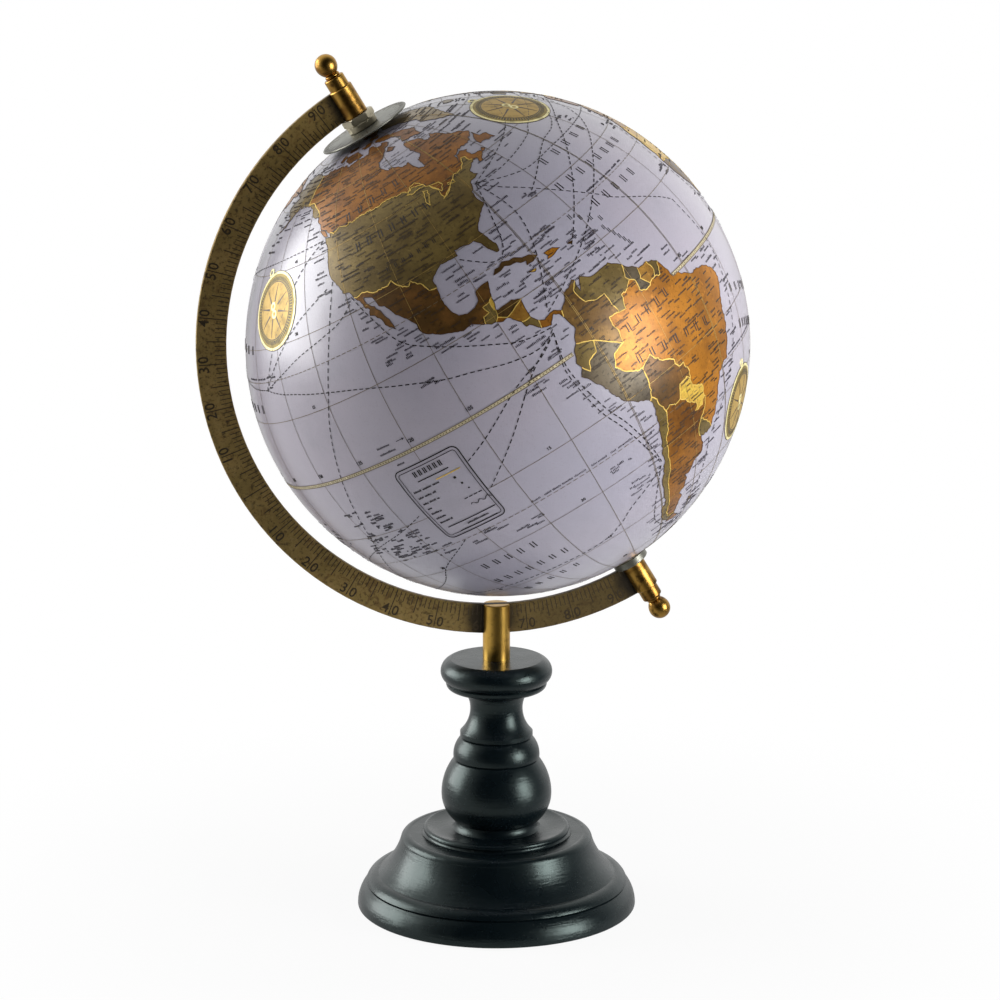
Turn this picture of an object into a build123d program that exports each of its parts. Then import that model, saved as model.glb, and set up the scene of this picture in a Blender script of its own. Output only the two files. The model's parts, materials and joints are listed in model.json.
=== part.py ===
from build123d import *
import os
from math import cos, radians, sin, sqrt

# Desktop globe: a printed ball that spins on a tilted axle in a flat C-shaped meridian arm, held by a
# brass post on a turned and painted stand. Millimetres, +Z up, origin at the middle of the underside.
# The arm lies in the XZ plane, and the north end of the axle leans towards -X.

# Driving dimensions: ball and its inner frame
BALL_RADIUS = 101.6
SHELL_WALL = 2.5
LAP_RING_WALL = 2.0
LAP_RING_HEIGHT = 16.0
CORE_RADIUS = 7.5
BUSH_RADIUS = 5.0
BUSH_DEPTH = 14.0
BUSH_FLANGE_RADIUS = 8.0

# Axle and meridian arm
AXIS_TILT = 31.0
BALL_SETTLE = 1.0  # the ball's centre hangs this far towards the south end of the arm
AXLE_RADIUS = 2.5
AXLE_STUB_RADIUS = 2.0
AXLE_STUB_LENGTH = 4.4
ARM_GAP = 7.2
ARM_WIDTH = 12.2
ARM_THICKNESS = 3.0
ARM_EDGE_CHAMFER = 0.3
POLE_TUBE_RADIUS = 4.95
POLE_TUBE_CHAMFER = 0.3
COLLAR_ARM_CLEARANCE = 0.1

# What sits on the axle between the ball and the arm
NUT_ACROSS_FLATS = 12.0
NUT_HEIGHT = 2.9
NUT_CHAMFER = 0.5
NORTH_COLLAR_RADIUS = 6.3
NORTH_COLLAR_HEIGHT = 2.8
DIAL_RADIUS = 19.0
DIAL_THICKNESS = 0.8
DIAL_CHAMFER = 0.25
SOUTH_COLLAR_RADIUS = 7.5
SOUTH_COLLAR_HEIGHT = 3.0
THRUST_WASHER_RADIUS = 6.6
THRUST_WASHER_HEIGHT = 0.8
COLLAR_CHAMFER = 0.3

# Finials
FINIAL_COLLAR_RADIUS = 4.2
FINIAL_COLLAR_HEIGHT = 5.0
FINIAL_COLLAR_ROUND = 0.7
FINIAL_NECK_RADIUS = 2.5
FINIAL_BEAD_RADIUS = 3.05
FINIAL_BEAD_HEIGHT = 1.3
FINIAL_BALL_RADIUS = 4.45
FINIAL_BALL_RISE = 4.2

# Post that carries the arm
POST_RADIUS = 5.6
POST_SOCKET_DEPTH = 14.0
POST_CHAMFER = 0.4
ARM_LIFT = 11.1  # clear height between the stand's top and the arm's lowest edge

# Stand as a whole, and what holds it together
STAND_HEIGHT = 106.0
FELT_THICKNESS = 0.6
FELT_RADIUS = 55.0
TIE_ROD_RADIUS = 3.0
TIE_ROD_HOLE_CLEARANCE = 0.25
TIE_ROD_ENGAGEMENT = 9.0
TIE_ROD_TAIL = 2.0
BASE_NUT_ACROSS_FLATS = 10.0
BASE_NUT_HEIGHT = 5.0
BASE_WASHER_RADIUS = 9.0
BASE_WASHER_HEIGHT = 1.6
BASE_RECESS_RADIUS = 11.0
BASE_RECESS_DEPTH = 12.0
TENON_RADIUS = 10.0
TENON_LENGTH = 9.5

# Foot: a band, a cut line, an ogee up to a rounded shoulder, and a small ring round the pillar's seat
FOOT_RADIUS = 57.8
FOOT_CORNER = 0.6
BAND_TOP_RADIUS = 54.2
BAND_TOP_HEIGHT = 10.2
FOOT_LINE_WIDTH = 0.8
FOOT_LINE_DEPTH = 0.8
OGEE_TURN_RADIUS = 49.2
OGEE_TURN_HEIGHT = 14.4
SHOULDER_RADIUS = 39.8
SHOULDER_START_HEIGHT = 28.6
SHOULDER_TOP_RADIUS = 35.8
SHOULDER_TOP_HEIGHT = 31.3
RING_FOOT_RADIUS = 31.2
RING_NECK_RADIUS = 29.6
RING_NECK_HEIGHT = 32.3
RING_RADIUS = 30.3
RING_WIDEST_HEIGHT = 33.2
RING_LIP_RADIUS = 28.3
RING_LIP_HEIGHT = 34.4
SEAT_HEIGHT = 33.6

# Pillar: heights of the lower members are above the seat, those of the capital are below the top
PILLAR_BASE_RADIUS = 18.4
WAIST_RADIUS = 16.9
WAIST_RISE = 3.1
BULB_RADIUS = 22.8
BULB_RISE = 14.9
BULB_TOP_RADIUS = 17.8
BULB_TOP_RISE = 29.5
LINE_WIDTH = 0.9
LINE_DEPTH = 0.7
BEAD_TOP_RADIUS = 15.0
BEAD_HEIGHT = 8.4
RIDGE_HEIGHT = 1.7
NECK_RADIUS = 10.8
NECK_DROP = 21.0
UNDERCUT_RADIUS = 12.3
UNDERCUT_DROP = 15.2
SOFFIT_RADIUS = 17.8
SOFFIT_DROP = 12.7
FILLET_BEAD_RADIUS = 20.8
FILLET_BEAD_DROP = 10.2
CAPITAL_LINE_WIDTH = 0.8
CAPITAL_LINE_DEPTH = 0.5
CAPITAL_RADIUS = 23.0
CAPITAL_DROP = 5.3
CAPITAL_TOP_RADIUS = 18.9

# Clearances
RUNNING_CLEARANCE = 0.05
DIAL_GAP = 0.1
END_PLAY = 0.2
TENON_END_GAP = 0.5

# Derived sizes and places
ARM_INNER_RADIUS = BALL_RADIUS + ARM_GAP
ARM_OUTER_RADIUS = ARM_INNER_RADIUS + ARM_WIDTH
ARM_CENTRE_HEIGHT = STAND_HEIGHT + ARM_LIFT + ARM_OUTER_RADIUS
TILT = radians(AXIS_TILT)
POLE_DIRECTION = Vector(-sin(TILT), 0, cos(TILT))
ARM_CENTRE = Vector(0, 0, ARM_CENTRE_HEIGHT)
BALL_CENTRE = ARM_CENTRE - POLE_DIRECTION * BALL_SETTLE
SHELL_INNER_RADIUS = BALL_RADIUS - SHELL_WALL
LAND_HEIGHT = sqrt(BALL_RADIUS**2 - BUSH_FLANGE_RADIUS**2)
CORE_HALF_LENGTH = sqrt(SHELL_INNER_RADIUS**2 - CORE_RADIUS**2)

NUT_CORNER_RADIUS = NUT_ACROSS_FLATS / sqrt(3)

# Places along the axle, measured from the arm's centre. The tubes reach a little inside the arm's
# curved inner edge, so that the flat faces of the nut and the south collar clear it.
WIDEST_AT_TUBE = max(NUT_CORNER_RADIUS, SOUTH_COLLAR_RADIUS)
TUBE_INNER_END = sqrt(ARM_INNER_RADIUS**2 - WIDEST_AT_TUBE**2) - COLLAR_ARM_CLEARANCE
NORTH_COLLAR_TOP = TUBE_INNER_END - NUT_HEIGHT
NORTH_COLLAR_BOTTOM = NORTH_COLLAR_TOP - NORTH_COLLAR_HEIGHT
DIAL_TOP = NORTH_COLLAR_BOTTOM - DIAL_GAP
DIAL_BOTTOM = DIAL_TOP - DIAL_THICKNESS
NORTH_FLANGE_TOP = DIAL_BOTTOM - END_PLAY
NORTH_LAND = LAND_HEIGHT - BALL_SETTLE
SOUTH_COLLAR_TOP = -TUBE_INNER_END + SOUTH_COLLAR_HEIGHT
THRUST_WASHER_TOP = SOUTH_COLLAR_TOP + THRUST_WASHER_HEIGHT
SOUTH_FLANGE_BOTTOM = THRUST_WASHER_TOP + END_PLAY
SOUTH_LAND = -LAND_HEIGHT - BALL_SETTLE

# Work planes. On the profile planes, x is the distance from the axle and y runs along it to the north.
ACROSS_AXLE = Vector(cos(TILT), 0, sin(TILT))
POLE_PLANE = Plane(origin=ARM_CENTRE, x_dir=ACROSS_AXLE, z_dir=POLE_DIRECTION)
POLE_AXIS = Axis(ARM_CENTRE, POLE_DIRECTION)
ARM_PROFILE = Plane(origin=ARM_CENTRE, x_dir=ACROSS_AXLE, z_dir=(0, -1, 0))
BALL_PROFILE = Plane(origin=BALL_CENTRE, x_dir=ACROSS_AXLE, z_dir=(0, -1, 0))


def save(piece, name):
    """Label a finished piece and write it to its own file."""
    piece.part.label = name
    export_step(piece.part, f"parts/{name}.step")


def ring_on_axle(start, end, outer, inner, chamfers):
    """Make a turned ring on the axle between two places along it, with its outer corners broken."""
    with BuildPart() as ring:
        with BuildSketch(POLE_PLANE.offset(start)):
            Circle(outer)
            Circle(inner, mode=Mode.SUBTRACT)
        extrude(amount=end - start)
        if chamfers:
            rims = ring.edges().filter_by(GeomType.CIRCLE).filter_by(lambda edge: edge.radius > inner)
            chamfer(rims, chamfers)
    return ring


os.makedirs("parts", exist_ok=True)

# ---- Stand ----------------------------------------------------------------------------------------

with BuildPart() as felt_pad:
    with BuildSketch():
        Circle(FELT_RADIUS)
    extrude(amount=FELT_THICKNESS)
save(felt_pad, "felt_pad")

FOOT_BOTTOM = FELT_THICKNESS
LINE_TOP_HEIGHT = BAND_TOP_HEIGHT + FOOT_LINE_WIDTH

with BuildPart() as foot:
    with BuildSketch(Plane.XZ):
        with BuildLine():
            Line((0, FOOT_BOTTOM), (FOOT_RADIUS - FOOT_CORNER, FOOT_BOTTOM))
            corner = TangentArc(
                (FOOT_RADIUS - FOOT_CORNER, FOOT_BOTTOM),
                (FOOT_RADIUS, FOOT_BOTTOM + FOOT_CORNER),
                tangent=(1, 0),
            )
            band = TangentArc(corner @ 1, (BAND_TOP_RADIUS, BAND_TOP_HEIGHT), tangent=(0, 1))
            cut_line = Polyline(
                band @ 1,
                (BAND_TOP_RADIUS - FOOT_LINE_DEPTH, BAND_TOP_HEIGHT + FOOT_LINE_WIDTH / 2),
                (BAND_TOP_RADIUS, LINE_TOP_HEIGHT),
            )
            sweep_out = TangentArc(
                cut_line @ 1, (OGEE_TURN_RADIUS, OGEE_TURN_HEIGHT), tangent=(-0.35, 0.94)
            )
            sweep_in = TangentArc(
                (SHOULDER_RADIUS, SHOULDER_START_HEIGHT), sweep_out @ 1, tangent=(0.28, -0.96)
            )
            shoulder = TangentArc(
                (SHOULDER_RADIUS, SHOULDER_START_HEIGHT),
                (SHOULDER_TOP_RADIUS, SHOULDER_TOP_HEIGHT),
                tangent=(-0.1, 1),
            )
            ring_foot = Line(shoulder @ 1, (RING_FOOT_RADIUS, SHOULDER_TOP_HEIGHT))
            ring_neck = TangentArc(
                (RING_NECK_RADIUS, RING_NECK_HEIGHT), ring_foot @ 1, tangent=(0, -1)
            )
            ring_out = TangentArc(
                (RING_RADIUS, RING_WIDEST_HEIGHT), ring_neck @ 0, tangent=(0, -1)
            )
            ring_over = TangentArc(
                ring_out @ 0, (RING_LIP_RADIUS, RING_LIP_HEIGHT), tangent=(0, 1)
            )
            dish = TangentArc(
                (PILLAR_BASE_RADIUS, SEAT_HEIGHT), ring_over @ 1, tangent=(1, -0.1)
            )
            Polyline(dish @ 0, (0, SEAT_HEIGHT), (0, FOOT_BOTTOM))
        make_face()
    revolve(axis=Axis.Z)
    with BuildSketch(Plane.XY.offset(SEAT_HEIGHT)):
        Circle(TENON_RADIUS)
    extrude(amount=-(TENON_LENGTH + TENON_END_GAP), mode=Mode.SUBTRACT)
    with BuildSketch(Plane.XY.offset(FOOT_BOTTOM)):
        Circle(BASE_RECESS_RADIUS)
    extrude(amount=BASE_RECESS_DEPTH, mode=Mode.SUBTRACT)
    with BuildSketch(Plane.XY.offset(FOOT_BOTTOM)):
        Circle(TIE_ROD_RADIUS + TIE_ROD_HOLE_CLEARANCE)
    extrude(amount=SEAT_HEIGHT, mode=Mode.SUBTRACT)
save(foot, "foot")

BULB_TOP_HEIGHT = SEAT_HEIGHT + BULB_TOP_RISE
BEAD_BOTTOM_HEIGHT = BULB_TOP_HEIGHT + LINE_WIDTH
BEAD_TOP_HEIGHT = BEAD_BOTTOM_HEIGHT + BEAD_HEIGHT
RIDGE_BOTTOM_HEIGHT = BEAD_TOP_HEIGHT + LINE_WIDTH
RIDGE_TOP_HEIGHT = RIDGE_BOTTOM_HEIGHT + RIDGE_HEIGHT
FILLET_BEAD_HEIGHT = STAND_HEIGHT - FILLET_BEAD_DROP

with BuildPart() as pillar:
    with BuildSketch(Plane.XZ):
        with BuildLine():
            tenon = Polyline(
                (0, SEAT_HEIGHT - TENON_LENGTH),
                (TENON_RADIUS, SEAT_HEIGHT - TENON_LENGTH),
                (TENON_RADIUS, SEAT_HEIGHT),
                (PILLAR_BASE_RADIUS, SEAT_HEIGHT),
            )
            waist = TangentArc(
                (WAIST_RADIUS, SEAT_HEIGHT + WAIST_RISE), tenon @ 1, tangent=(0, -1)
            )
            bulb_under = TangentArc(
                (BULB_RADIUS, SEAT_HEIGHT + BULB_RISE), waist @ 0, tangent=(0, -1)
            )
            bulb_over = TangentArc(
                bulb_under @ 0, (BULB_TOP_RADIUS, BULB_TOP_HEIGHT), tangent=(0, 1)
            )
            lower_line = Polyline(
                bulb_over @ 1,
                (BULB_TOP_RADIUS - LINE_DEPTH, BULB_TOP_HEIGHT + LINE_WIDTH / 2),
                (BULB_TOP_RADIUS, BEAD_BOTTOM_HEIGHT),
            )
            bead = TangentArc(
                lower_line @ 1, (BEAD_TOP_RADIUS, BEAD_TOP_HEIGHT), tangent=(0.1, 1)
            )
            upper_line = Polyline(
                bead @ 1,
                (BEAD_TOP_RADIUS - LINE_DEPTH, BEAD_TOP_HEIGHT + LINE_WIDTH / 2),
                (BEAD_TOP_RADIUS, RIDGE_BOTTOM_HEIGHT),
                (BEAD_TOP_RADIUS, RIDGE_TOP_HEIGHT),
            )
            cove = TangentArc(
                (NECK_RADIUS, STAND_HEIGHT - NECK_DROP), upper_line @ 1, tangent=(0, -1)
            )
            neck = TangentArc(
                cove @ 0, (UNDERCUT_RADIUS, STAND_HEIGHT - UNDERCUT_DROP), tangent=(0, 1)
            )
            soffit = Line(neck @ 1, (SOFFIT_RADIUS, STAND_HEIGHT - SOFFIT_DROP))
            fillet_bead = TangentArc(
                (FILLET_BEAD_RADIUS, FILLET_BEAD_HEIGHT), soffit @ 1, tangent=(0, -1)
            )
            capital_line = Polyline(
                fillet_bead @ 0,
                (FILLET_BEAD_RADIUS - CAPITAL_LINE_DEPTH, FILLET_BEAD_HEIGHT + CAPITAL_LINE_WIDTH / 2),
                (FILLET_BEAD_RADIUS, FILLET_BEAD_HEIGHT + CAPITAL_LINE_WIDTH),
            )
            capital_under = TangentArc(
                (CAPITAL_RADIUS, STAND_HEIGHT - CAPITAL_DROP), capital_line @ 1, tangent=(0, -1)
            )
            capital_over = TangentArc(
                capital_under @ 0, (CAPITAL_TOP_RADIUS, STAND_HEIGHT), tangent=(0, 1)
            )
            Polyline(capital_over @ 1, (0, STAND_HEIGHT), tenon @ 0)
        make_face()
    revolve(axis=Axis.Z)
    with BuildSketch(Plane.XY.offset(STAND_HEIGHT)):
        Circle(POST_RADIUS)
    extrude(amount=-POST_SOCKET_DEPTH, mode=Mode.SUBTRACT)
    with BuildSketch(Plane.XY.offset(STAND_HEIGHT)):
        Circle(TIE_ROD_RADIUS + TIE_ROD_HOLE_CLEARANCE)
    extrude(amount=-STAND_HEIGHT, mode=Mode.SUBTRACT)
save(pillar, "pillar")

POST_BOTTOM = STAND_HEIGHT - POST_SOCKET_DEPTH
POST_TOP = ARM_CENTRE_HEIGHT - ARM_INNER_RADIUS

with BuildPart() as stem_post:
    with BuildSketch(Plane.XY.offset(POST_BOTTOM)):
        Circle(POST_RADIUS)
    extrude(amount=POST_TOP - POST_BOTTOM)
    chamfer(stem_post.edges().filter_by(GeomType.CIRCLE).sort_by(Axis.Z)[-1], POST_CHAMFER)
    with BuildSketch(Plane.XY.offset(POST_BOTTOM)):
        Circle(TIE_ROD_RADIUS)
    extrude(amount=TIE_ROD_ENGAGEMENT, mode=Mode.SUBTRACT)
    with BuildSketch(ARM_PROFILE):
        Circle(ARM_OUTER_RADIUS)
    extrude(amount=ARM_THICKNESS / 2, both=True, mode=Mode.SUBTRACT)
save(stem_post, "stem_post")

WASHER_TOP = FOOT_BOTTOM + BASE_RECESS_DEPTH
BASE_NUT_TOP = WASHER_TOP - BASE_WASHER_HEIGHT
BASE_NUT_BOTTOM = BASE_NUT_TOP - BASE_NUT_HEIGHT

with BuildPart() as tie_rod:
    with BuildSketch(Plane.XY.offset(BASE_NUT_BOTTOM - TIE_ROD_TAIL)):
        Circle(TIE_ROD_RADIUS)
    extrude(amount=POST_BOTTOM + TIE_ROD_ENGAGEMENT - BASE_NUT_BOTTOM + TIE_ROD_TAIL)
save(tie_rod, "tie_rod")

with BuildPart() as base_washer:
    with BuildSketch(Plane.XY.offset(BASE_NUT_TOP)):
        Circle(BASE_WASHER_RADIUS)
        Circle(TIE_ROD_RADIUS, mode=Mode.SUBTRACT)
    extrude(amount=BASE_WASHER_HEIGHT)
save(base_washer, "base_washer")

with BuildPart() as base_nut:
    with BuildSketch(Plane.XY.offset(BASE_NUT_BOTTOM)):
        RegularPolygon(BASE_NUT_ACROSS_FLATS / 2, 6, major_radius=False)
        Circle(TIE_ROD_RADIUS, mode=Mode.SUBTRACT)
    extrude(amount=BASE_NUT_HEIGHT)
save(base_nut, "base_nut")

# ---- Meridian arm, axle and what is fixed on it ---------------------------------------------------

with BuildPart() as meridian_arm:
    with BuildSketch(ARM_PROFILE):
        Circle(ARM_OUTER_RADIUS)
        Circle(ARM_INNER_RADIUS, mode=Mode.SUBTRACT)
        Rectangle(
            2 * ARM_OUTER_RADIUS,
            2 * ARM_OUTER_RADIUS,
            align=(Align.MIN, Align.CENTER),
            mode=Mode.SUBTRACT,
        )
    extrude(amount=ARM_THICKNESS / 2, both=True)
    chamfer(meridian_arm.edges().filter_by(GeomType.CIRCLE), ARM_EDGE_CHAMFER)
    with BuildSketch(POLE_PLANE):
        Circle(POLE_TUBE_RADIUS)
    extrude(amount=2 * ARM_OUTER_RADIUS, both=True, mode=Mode.SUBTRACT)
save(meridian_arm, "meridian_arm")

north_tube = ring_on_axle(
    TUBE_INNER_END, ARM_OUTER_RADIUS, POLE_TUBE_RADIUS, AXLE_RADIUS, POLE_TUBE_CHAMFER
)
save(north_tube, "north_tube")

south_tube = ring_on_axle(
    -ARM_OUTER_RADIUS, -TUBE_INNER_END, POLE_TUBE_RADIUS, AXLE_RADIUS, POLE_TUBE_CHAMFER
)
save(south_tube, "south_tube")

with BuildPart() as axle:
    with BuildSketch(POLE_PLANE):
        Circle(AXLE_RADIUS)
    extrude(amount=ARM_OUTER_RADIUS, both=True)
    with BuildSketch(POLE_PLANE):
        Circle(AXLE_STUB_RADIUS)
    extrude(amount=ARM_OUTER_RADIUS + AXLE_STUB_LENGTH, both=True)
save(axle, "axle")

FINIAL_COLLAR_TOP = ARM_OUTER_RADIUS + FINIAL_COLLAR_HEIGHT
FINIAL_BALL_MIDDLE = FINIAL_COLLAR_TOP + FINIAL_BEAD_HEIGHT + FINIAL_BALL_RISE


def finial(profile_plane):
    """Turn a finial that stands on the arm's outer end, on the side that the plane's y points to."""
    with BuildPart() as knob:
        with BuildSketch(profile_plane):
            with BuildLine():
                collar = Polyline(
                    (AXLE_STUB_RADIUS, ARM_OUTER_RADIUS),
                    (FINIAL_COLLAR_RADIUS, ARM_OUTER_RADIUS),
                    (FINIAL_COLLAR_RADIUS, FINIAL_COLLAR_TOP - FINIAL_COLLAR_ROUND),
                )
                collar_round = TangentArc(
                    collar @ 1,
                    (FINIAL_COLLAR_RADIUS - FINIAL_COLLAR_ROUND, FINIAL_COLLAR_TOP),
                    tangent=(0, 1),
                )
                step = Line(collar_round @ 1, (FINIAL_NECK_RADIUS, FINIAL_COLLAR_TOP))
                bead_under = TangentArc(
                    (FINIAL_BEAD_RADIUS, FINIAL_COLLAR_TOP + FINIAL_BEAD_HEIGHT / 2),
                    step @ 1,
                    tangent=(0, -1),
                )
                bead_over = TangentArc(
                    bead_under @ 0,
                    (FINIAL_NECK_RADIUS, FINIAL_COLLAR_TOP + FINIAL_BEAD_HEIGHT),
                    tangent=(0, 1),
                )
                ball_under = TangentArc(
                    (FINIAL_BALL_RADIUS, FINIAL_BALL_MIDDLE), bead_over @ 1, tangent=(0, -1)
                )
                crown = TangentArc(
                    ball_under @ 0, (0, FINIAL_BALL_MIDDLE + FINIAL_BALL_RADIUS), tangent=(0, 1)
                )
                Polyline(
                    crown @ 1,
                    (0, ARM_OUTER_RADIUS + AXLE_STUB_LENGTH),
                    (AXLE_STUB_RADIUS, ARM_OUTER_RADIUS + AXLE_STUB_LENGTH),
                    collar @ 0,
                )
            make_face()
        revolve(axis=POLE_AXIS)
    return knob


north_finial = finial(ARM_PROFILE)
save(north_finial, "north_finial")

south_finial = finial(Plane(origin=ARM_CENTRE, x_dir=ACROSS_AXLE, z_dir=(0, 1, 0)))
save(south_finial, "south_finial")

with BuildPart() as north_nut:
    with BuildSketch(POLE_PLANE.offset(NORTH_COLLAR_TOP)):
        Circle(NUT_CORNER_RADIUS)
        Circle(AXLE_RADIUS, mode=Mode.SUBTRACT)
    extrude(amount=NUT_HEIGHT)
    rims = north_nut.edges().filter_by(GeomType.CIRCLE).filter_by(lambda edge: edge.radius > AXLE_RADIUS)
    chamfer(rims, NUT_CHAMFER)
    with BuildSketch(POLE_PLANE.offset(NORTH_COLLAR_TOP)):
        RegularPolygon(NUT_ACROSS_FLATS / 2, 6, major_radius=False)
    extrude(amount=NUT_HEIGHT, mode=Mode.INTERSECT)
save(north_nut, "north_nut")

north_collar = ring_on_axle(
    NORTH_COLLAR_BOTTOM, NORTH_COLLAR_TOP, NORTH_COLLAR_RADIUS, AXLE_RADIUS, COLLAR_CHAMFER
)
save(north_collar, "north_collar")

south_collar = ring_on_axle(
    -TUBE_INNER_END, SOUTH_COLLAR_TOP, SOUTH_COLLAR_RADIUS, AXLE_RADIUS, COLLAR_CHAMFER
)
save(south_collar, "south_collar")

thrust_washer = ring_on_axle(
    SOUTH_COLLAR_TOP, THRUST_WASHER_TOP, THRUST_WASHER_RADIUS, AXLE_RADIUS, 0
)
save(thrust_washer, "thrust_washer")

# ---- Hour dial, which turns on the axle by itself -------------------------------------------------

BUSH_BORE_RADIUS = AXLE_RADIUS + RUNNING_CLEARANCE

hour_dial = ring_on_axle(DIAL_BOTTOM, DIAL_TOP, DIAL_RADIUS, BUSH_BORE_RADIUS, DIAL_CHAMFER)
save(hour_dial, "hour_dial")

# ---- Ball -----------------------------------------------------------------------------------------


def hemisphere(end):
    """Make half of the hollow ball, with a flat land and a hole for the bush at its pole."""
    with BuildPart() as shell:
        with BuildSketch(BALL_PROFILE):
            Circle(BALL_RADIUS)
            Circle(SHELL_INNER_RADIUS, mode=Mode.SUBTRACT)
            with Locations((BUSH_RADIUS, 0)):
                Rectangle(
                    BALL_RADIUS,
                    LAND_HEIGHT,
                    align=(Align.MIN, Align.MIN if end > 0 else Align.MAX),
                    mode=Mode.INTERSECT,
                )
        revolve(axis=POLE_AXIS)
    return shell


hemisphere_north = hemisphere(1)
save(hemisphere_north, "hemisphere_north")

hemisphere_south = hemisphere(-1)
save(hemisphere_south, "hemisphere_south")

with BuildPart() as lap_ring:
    with BuildSketch(BALL_PROFILE):
        Circle(SHELL_INNER_RADIUS)
        Circle(SHELL_INNER_RADIUS - LAP_RING_WALL, mode=Mode.SUBTRACT)
        Rectangle(
            BALL_RADIUS,
            LAP_RING_HEIGHT,
            align=(Align.MIN, Align.CENTER),
            mode=Mode.INTERSECT,
        )
    revolve(axis=POLE_AXIS)
save(lap_ring, "lap_ring")

core_tube = ring_on_axle(
    -CORE_HALF_LENGTH - BALL_SETTLE, CORE_HALF_LENGTH - BALL_SETTLE, CORE_RADIUS, BUSH_RADIUS, 0
)
save(core_tube, "core_tube")


def pole_bush(land, flange_face, end):
    """Turn a flanged bush that seats on the ball's land and runs on the axle."""
    with BuildPart() as bush:
        with BuildSketch(POLE_PLANE.offset(land)):
            Circle(BUSH_FLANGE_RADIUS)
        extrude(amount=flange_face - land)
        outer_rim = bush.edges().filter_by(GeomType.CIRCLE).sort_by(POLE_AXIS)[-1 if end > 0 else 0]
        chamfer(outer_rim, COLLAR_CHAMFER)
        with BuildSketch(POLE_PLANE.offset(land)):
            Circle(BUSH_RADIUS)
        extrude(amount=-end * BUSH_DEPTH)
        with BuildSketch(POLE_PLANE.offset(flange_face)):
            Circle(BUSH_BORE_RADIUS)
        extrude(amount=-end * (abs(flange_face) + BUSH_DEPTH), mode=Mode.SUBTRACT)
    return bush


north_bush = pole_bush(NORTH_LAND, NORTH_FLANGE_TOP, 1)
save(north_bush, "north_bush")

south_bush = pole_bush(SOUTH_LAND, SOUTH_FLANGE_BOTTOM, -1)
save(south_bush, "south_bush")
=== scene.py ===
"""Desk globe on a turned stand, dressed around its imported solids.

The frame is in metres: x points to the globe's low side, y away from the
viewer and z up. Every piece rides on the body that carries it.
"""
import functools
import json
import math
import random

import bmesh
import bpy
from mathutils import Matrix, Vector, noise
from mathutils.bvhtree import BVHTree


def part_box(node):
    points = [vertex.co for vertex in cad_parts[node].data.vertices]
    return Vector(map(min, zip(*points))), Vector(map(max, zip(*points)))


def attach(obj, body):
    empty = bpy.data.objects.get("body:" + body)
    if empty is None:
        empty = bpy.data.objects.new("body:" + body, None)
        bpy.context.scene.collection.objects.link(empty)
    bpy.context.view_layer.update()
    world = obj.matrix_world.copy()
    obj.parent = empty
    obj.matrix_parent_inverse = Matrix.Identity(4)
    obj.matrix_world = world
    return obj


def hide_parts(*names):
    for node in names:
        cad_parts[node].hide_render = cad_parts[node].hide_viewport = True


bl_info = {
    "name": "Desk Globe",
    "version": (1, 0, 0),
    "blender": (4, 5, 0),
    "location": "3D Viewport > Sidebar > Globe",
    "description": "Builds the looks of a desk globe on a turned stand",
    "category": "Add Mesh",
}

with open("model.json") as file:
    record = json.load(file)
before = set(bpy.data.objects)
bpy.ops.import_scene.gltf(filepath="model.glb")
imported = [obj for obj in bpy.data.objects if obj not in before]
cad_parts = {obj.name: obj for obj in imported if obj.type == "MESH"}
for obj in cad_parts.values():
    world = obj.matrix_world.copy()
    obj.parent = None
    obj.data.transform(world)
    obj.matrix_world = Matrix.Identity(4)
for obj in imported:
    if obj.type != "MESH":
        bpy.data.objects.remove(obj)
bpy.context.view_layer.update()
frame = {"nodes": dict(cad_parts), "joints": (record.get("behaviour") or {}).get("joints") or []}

MM = 0.001
SPIN = next(j for j in frame["joints"] if j["name"] == "globe_spin")
POLE = Vector(SPIN["axis"]).normalized()
EAST = Vector((0, 1, 0))
FRONT = EAST.cross(POLE).normalized()
ARM_CENTRE = Vector(SPIN["pos_m"])
HALVES = [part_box(n) for n in ("hemisphere_north", "hemisphere_south")]
BALL_LOW = Vector(min(h[0][i] for h in HALVES) for i in range(3))
BALL_HIGH = Vector(max(h[1][i] for h in HALVES) for i in range(3))
BALL_CENTRE = (BALL_LOW + BALL_HIGH) / 2
BALL_RADIUS = max(BALL_HIGH - BALL_LOW) / 2
POLE_FLAT = 101.285 * MM  # from the ball's middle to the small flat at each pole
DIAL_REACH = 0.1022  # along the axle, from the arm's middle
TUBE_REACH = 0.1155
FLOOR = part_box("felt_pad")[0].z
POST_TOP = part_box("stem_post")[1].z

# How the print lies on the ball: its turn about two axes, then its stretch.
PRINT_TURN = (
    Matrix.Rotation(math.radians(-2.17), 3, FRONT) @ Matrix.Rotation(math.radians(-0.76), 3, EAST)
)
NORTH_STRETCH, NORTH_STRETCH_FINE = 0.0721, 0.0216
EAST_SHIFT, EAST_STRETCH, EAST_PHASE = 0.0471, 0.0262, 2.967

# Steps and cells of the map, in degrees.
FINE_STEP = 0.7
COARSE_STEP = 1.3
CELL = 3
SEED_REACH = 75  # seeds further apart than this never share a border
ISTHMUS, CALM_REACH = (-84, 13), 45
BROAD_BENDS, FINE_BENDS = 0.42, 1.4  # bends of the noise in each degree
SHORE_SEED = 7  # without a seed the small bends would follow the clock

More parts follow.
